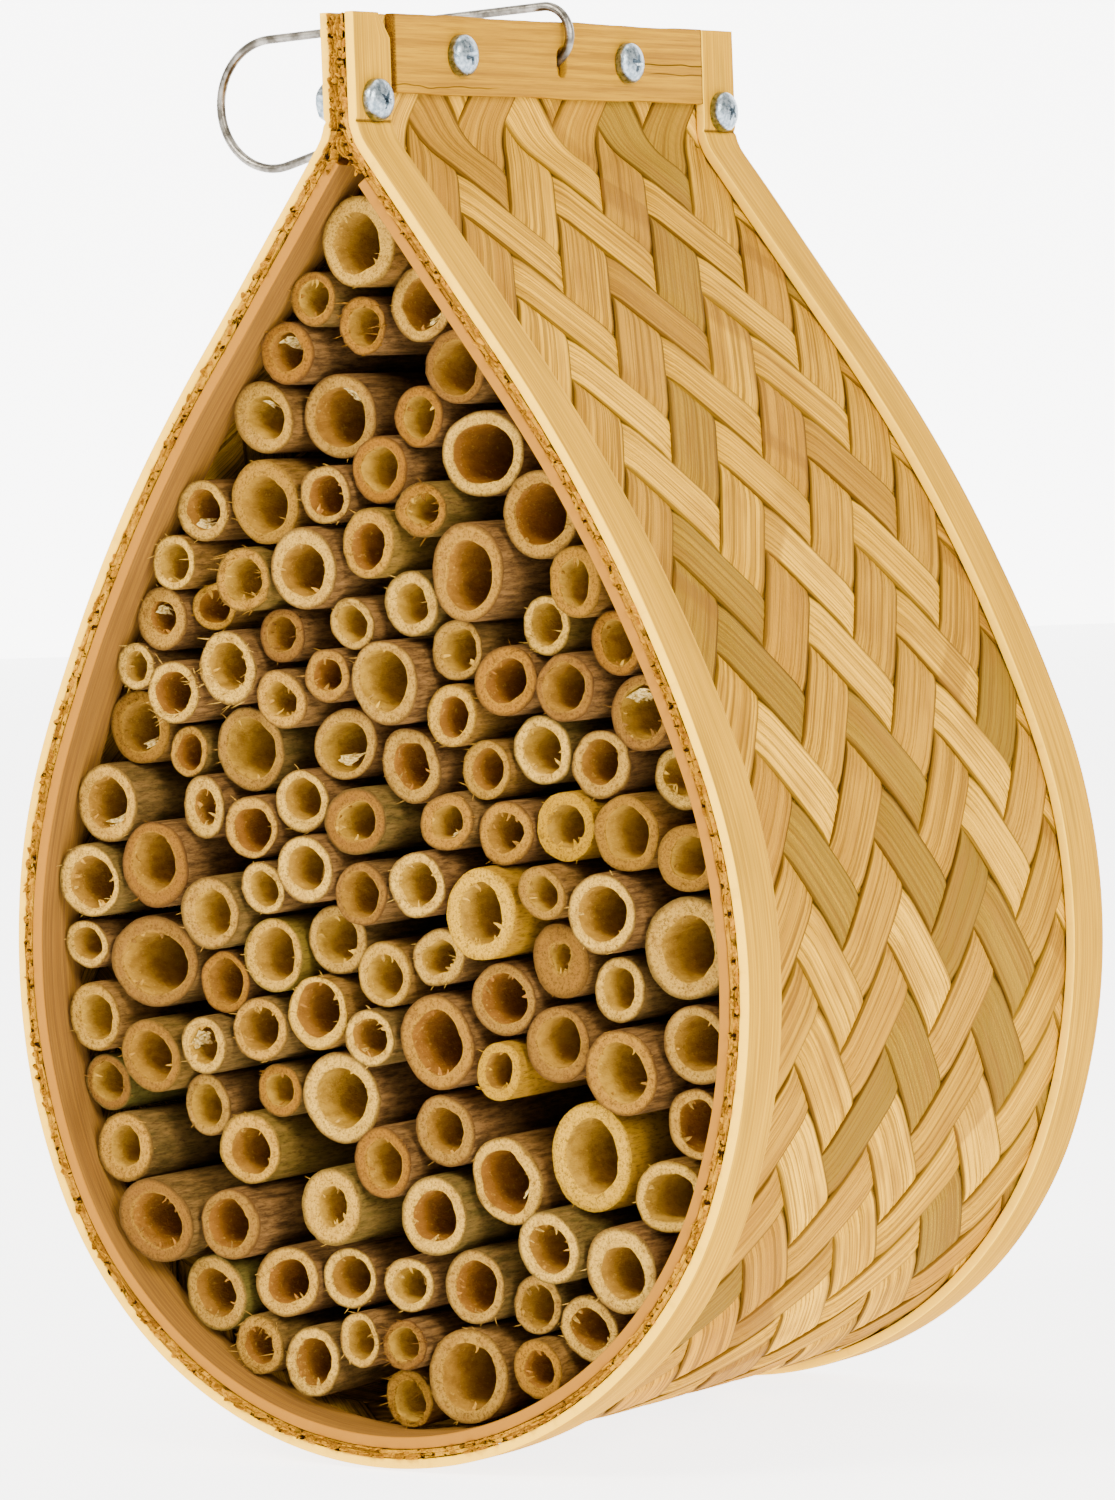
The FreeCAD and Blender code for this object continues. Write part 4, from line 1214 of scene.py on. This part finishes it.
def reedMaterials():
    material, start = startMaterial("reed_barrel")
    x, y, z = (start.place(axis) / mm for axis in range(3))
    seed, green, deep = start.value("seed"), start.value("green"), start.value("depth")
    yellow = start.value("yellow")
    streaks = start.grain(x * 0.9, y * 0.12, z * 0.9 + seed, detail=5, roughness=0.7)
    fine = start.grain(x * 2.2, y * 0.4, z * 2.2, detail=5, roughness=0.75)
    colour = streaks.between(0.3, 0.7).blend(linear(108, 78, 42), linear(176, 138, 84))
    colour = (green * 0.75).blend(colour, linear(128, 124, 50))
    colour = (yellow * 0.6).blend(colour, linear(206, 168, 66))
    colour = (fine.between(0.46, 0.66) * 0.6).blend(colour, linear(74, 50, 26))
    # Painted shade: the barrels darken further back from their cut ends, deeper in the bundle.
    paintedShade = deep.between(4, 26)
    colour = (paintedShade * 0.45).blend(colour, linear(52, 32, 16))
    barrel = finishMaterial(material, colour, 0.5, fine + streaks, 0.2)

    material, start = startMaterial("reed_cut")
    x, y, z = (start.place(axis) / mm for axis in range(3))
    seed, ring, yellow = start.value("seed"), start.value("ring"), start.value("yellow")
    green = start.value("green")
    pores = start.grain(x * 1.9, y * 0.5, z * 1.9, detail=6, roughness=0.85)
    patches = start.grain(x * 0.5, seed, z * 0.5, detail=2)
    tone = start.grain(seed * 3.7, seed * 1.9, seed, detail=0)
    colour = tone.between(0.33, 0.67).blend(linear(182, 138, 68), linear(228, 200, 148))
    colour = (seed.random(3.0).between(0.6, 0.9) * 0.5).blend(colour, linear(206, 152, 62))
    colour = (patches.between(0.45, 0.7) * 0.4).blend(colour, linear(184, 132, 72))
    colour = (ring.between(0.62, 0.95) * 0.85).blend(colour, linear(122, 84, 46))
    colour = (ring.between(0.22, 0.02) * 0.3).blend(colour, linear(222, 188, 122))
    colour = (yellow * 0.6).blend(colour, linear(226, 192, 84))
    colour = (green * ring.between(0.7, 1.0) * 0.5).blend(colour, linear(150, 144, 70))
    colour = (pores.between(0.47, 0.6) * 0.75).blend(colour, linear(122, 86, 44))
    cut = finishMaterial(material, colour, 0.75, pores + patches * 0.3, 0.8)

    material, start = startMaterial("reed_bore")
    x, y, z = (start.place(axis) / mm for axis in range(3))
    seed, deep = start.value("seed"), start.value("depth")
    tone = start.grain(seed * 4.1, seed * 2.3, seed, detail=0)
    streaks = start.grain(x * 0.5, y * 0.22, z * 0.5 + seed, detail=5, roughness=0.7)
    flakes = start.grain(x * 1.2, y * 0.7, z * 1.2, detail=5, roughness=0.75)
    colour = tone.between(0.35, 0.62).blend(linear(190, 140, 70), linear(212, 182, 126))
    colour = (streaks.between(0.35, 0.7) * 0.5).blend(colour, linear(142, 94, 42))
    colour = (flakes.between(0.56, 0.7) * 0.6).blend(colour, linear(224, 196, 140))
    # Painted shade: the bore darkens deeper in from its mouth.
    colour = (deep.between(3, 34) * 0.55).blend(colour, linear(98, 60, 26))
    bore = finishMaterial(material, colour, 0.6, flakes + streaks, 0.35)

    material, start = startMaterial("reed_lining")
    x, y, z = (start.place(axis) / mm for axis in range(3))
    folds = start.grain(x * 1.6, y * 1.6, z * 1.6, detail=4)
    colour = folds.between(0.35, 0.7).blend(linear(186, 158, 96), linear(238, 224, 180))
    lining = finishMaterial(material, colour, 0.55, folds, 0.4)
    return [barrel, cut, bore, lining]


reedLooks = reedMaterials()
courseNodes = sorted(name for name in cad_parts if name.startswith("reed_course_"))
for course, nodeName in enumerate(courseNodes):
    solids = sorted(components(nodeName), key=lambda points: points[:, 0].mean())
    build = Builder()
    for number, points in enumerate(solids):
        reed(build, points, reeds["special"].get((course, number), ""))
    dress(build.make(f"reeds_{course + 1:02d}", "hotel", 55), nodeName, "reed", *reedLooks)
print("reeds done")



def panelMaterial():
    material, start = startMaterial("panel_board")
    x, y, z = (start.place(axis) / mm for axis in range(3))
    grain = start.grain(x * 0.6, y, z * 0.03, detail=4)
    fine = start.grain(x * 5, y * 2, z * 0.1, detail=3)
    rings = start.grain(x * 0.08 + grain * 0.4, 0.0, z * 0.012, detail=2)
    bands = ((rings * 60).maths("SINE", rings * 60) + 1) * 0.5
    colour = grain.between(0.3, 0.7).blend(linear(206, 168, 112), linear(230, 198, 146))
    colour = (bands * 0.3).blend(colour, linear(184, 140, 86))
    colour = (fine.between(0.5, 0.75) * 0.3).blend(colour, linear(150, 108, 62))
    return finishMaterial(material, colour, 0.6, fine + grain, 0.2)


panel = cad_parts["back_panel"]
panel.data.materials.clear()
panel.data.materials.append(panelMaterial())


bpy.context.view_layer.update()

studio = {
    "tint": (1, 0.95, 0.84),
    "skyStrength": 1.5,
    "floorReach": 6.0,
    "floorGap": 0.4,
    "middle": (0, 0, -0.13),
    "lights": {
        "key": ((-0.45, -1.3, 0.9), 0.6, 50),
        "fill": ((1.4, -0.8, 0.5), 0.7, 42),
        "top": ((0.2, 0.3, 1.6), 1.2, 20),
    },
}


def glowingSheet(name, corners, lookName, colour, roughness, glow):
    mesh = bpy.data.meshes.new(name)
    mesh.from_pydata(corners, [], [(0, 1, 2, 3)])
    look, _ = startMaterial(lookName)
    finishMaterial(look, colour, roughness)
    shader = look.node_tree.nodes["Principled BSDF"]
    shader.inputs["Emission Color"].default_value = (1, 1, 1, 1)
    shader.inputs["Emission Strength"].default_value = glow
    mesh.materials.append(look)
    sheet = addObject(name, mesh)
    return sheet


reach = studio["floorReach"]
floorCorners = [(-reach, -reach, 0), (reach, -reach, 0), (reach, reach, 0), (-reach, reach, 0)]
floor = glowingSheet("floor", floorCorners, "studio_floor", (0.5, 0.5, 0.51), 0.7, 4.2)
floor.location.z = hoopLow.z - studio["floorGap"] * mm

wallCorners = [(-5, 0, -0.5), (5, 0, -0.5), (5, 0, 4), (-5, 0, 4)]
wall = glowingSheet("light_wall", wallCorners, "bright_wall", (0.8, 0.8, 0.8), 0.9, 5)
wall.location = (-2.2, 3.4, 0)
wall.rotation_euler.z = math.radians(33)

world = bpy.data.worlds.new("studio")
world.use_nodes = True
world.node_tree.nodes["Background"].inputs[0].default_value = studio["tint"] + (1,)
world.node_tree.nodes["Background"].inputs[1].default_value = studio["skyStrength"]
bpy.context.scene.world = world


def softLight(name, spot, width, power):
    data = bpy.data.lights.new(name, "AREA")
    data.shape = "DISK"
    data.size = width
    data.energy = power
    data.color = studio["tint"]
    light = addObject(name, data)
    light.location = spot
    aim = Vector(studio["middle"]) - Vector(spot)
    light.rotation_euler = aim.to_track_quat("-Z", "Y").to_euler()


for lightName, (spot, width, power) in studio["lights"].items():
    softLight(lightName, spot, width, power)

view = {
    "turn": 33.4,
    "rise": 3.14,
    "roll": -1.86,
    "distance": 1277.3,
    "drop": -5.27,
    "lens": 155.56,
    "sensorHeight": 36,
}


def placeCamera():
    turn, rise, roll = (math.radians(view[key]) for key in ("turn", "rise", "roll"))
    level = math.cos(rise)
    back = Vector((math.sin(turn) * level, -math.cos(turn) * level, math.sin(rise)))
    right = Vector((0, 0, 1)).cross(back).normalized()
    up = back.cross(right)
    rolledRight = right * math.cos(roll) + up * math.sin(roll)
    rolledUp = up * math.cos(roll) - right * math.sin(roll)
    target = Vector((0, frontRim + depth / 2, hoopHigh.z / mm - teardrop["height"] / 2))
    spot = (target + back * view["distance"] + rolledUp * view["drop"]) * mm
    data = bpy.data.cameras.new("main_camera")
    data.sensor_fit = "VERTICAL"
    data.sensor_height = view["sensorHeight"]
    data.lens = view["lens"]
    data.clip_start = 0.05
    data.clip_end = 30
    camera = addObject("main_camera", data)
    turned = Matrix((rolledRight, rolledUp, back)).transposed()
    camera.matrix_world = Matrix.Translation(spot) @ turned.to_4x4()
    bpy.context.scene.camera = camera


placeCamera()
print("stage done")
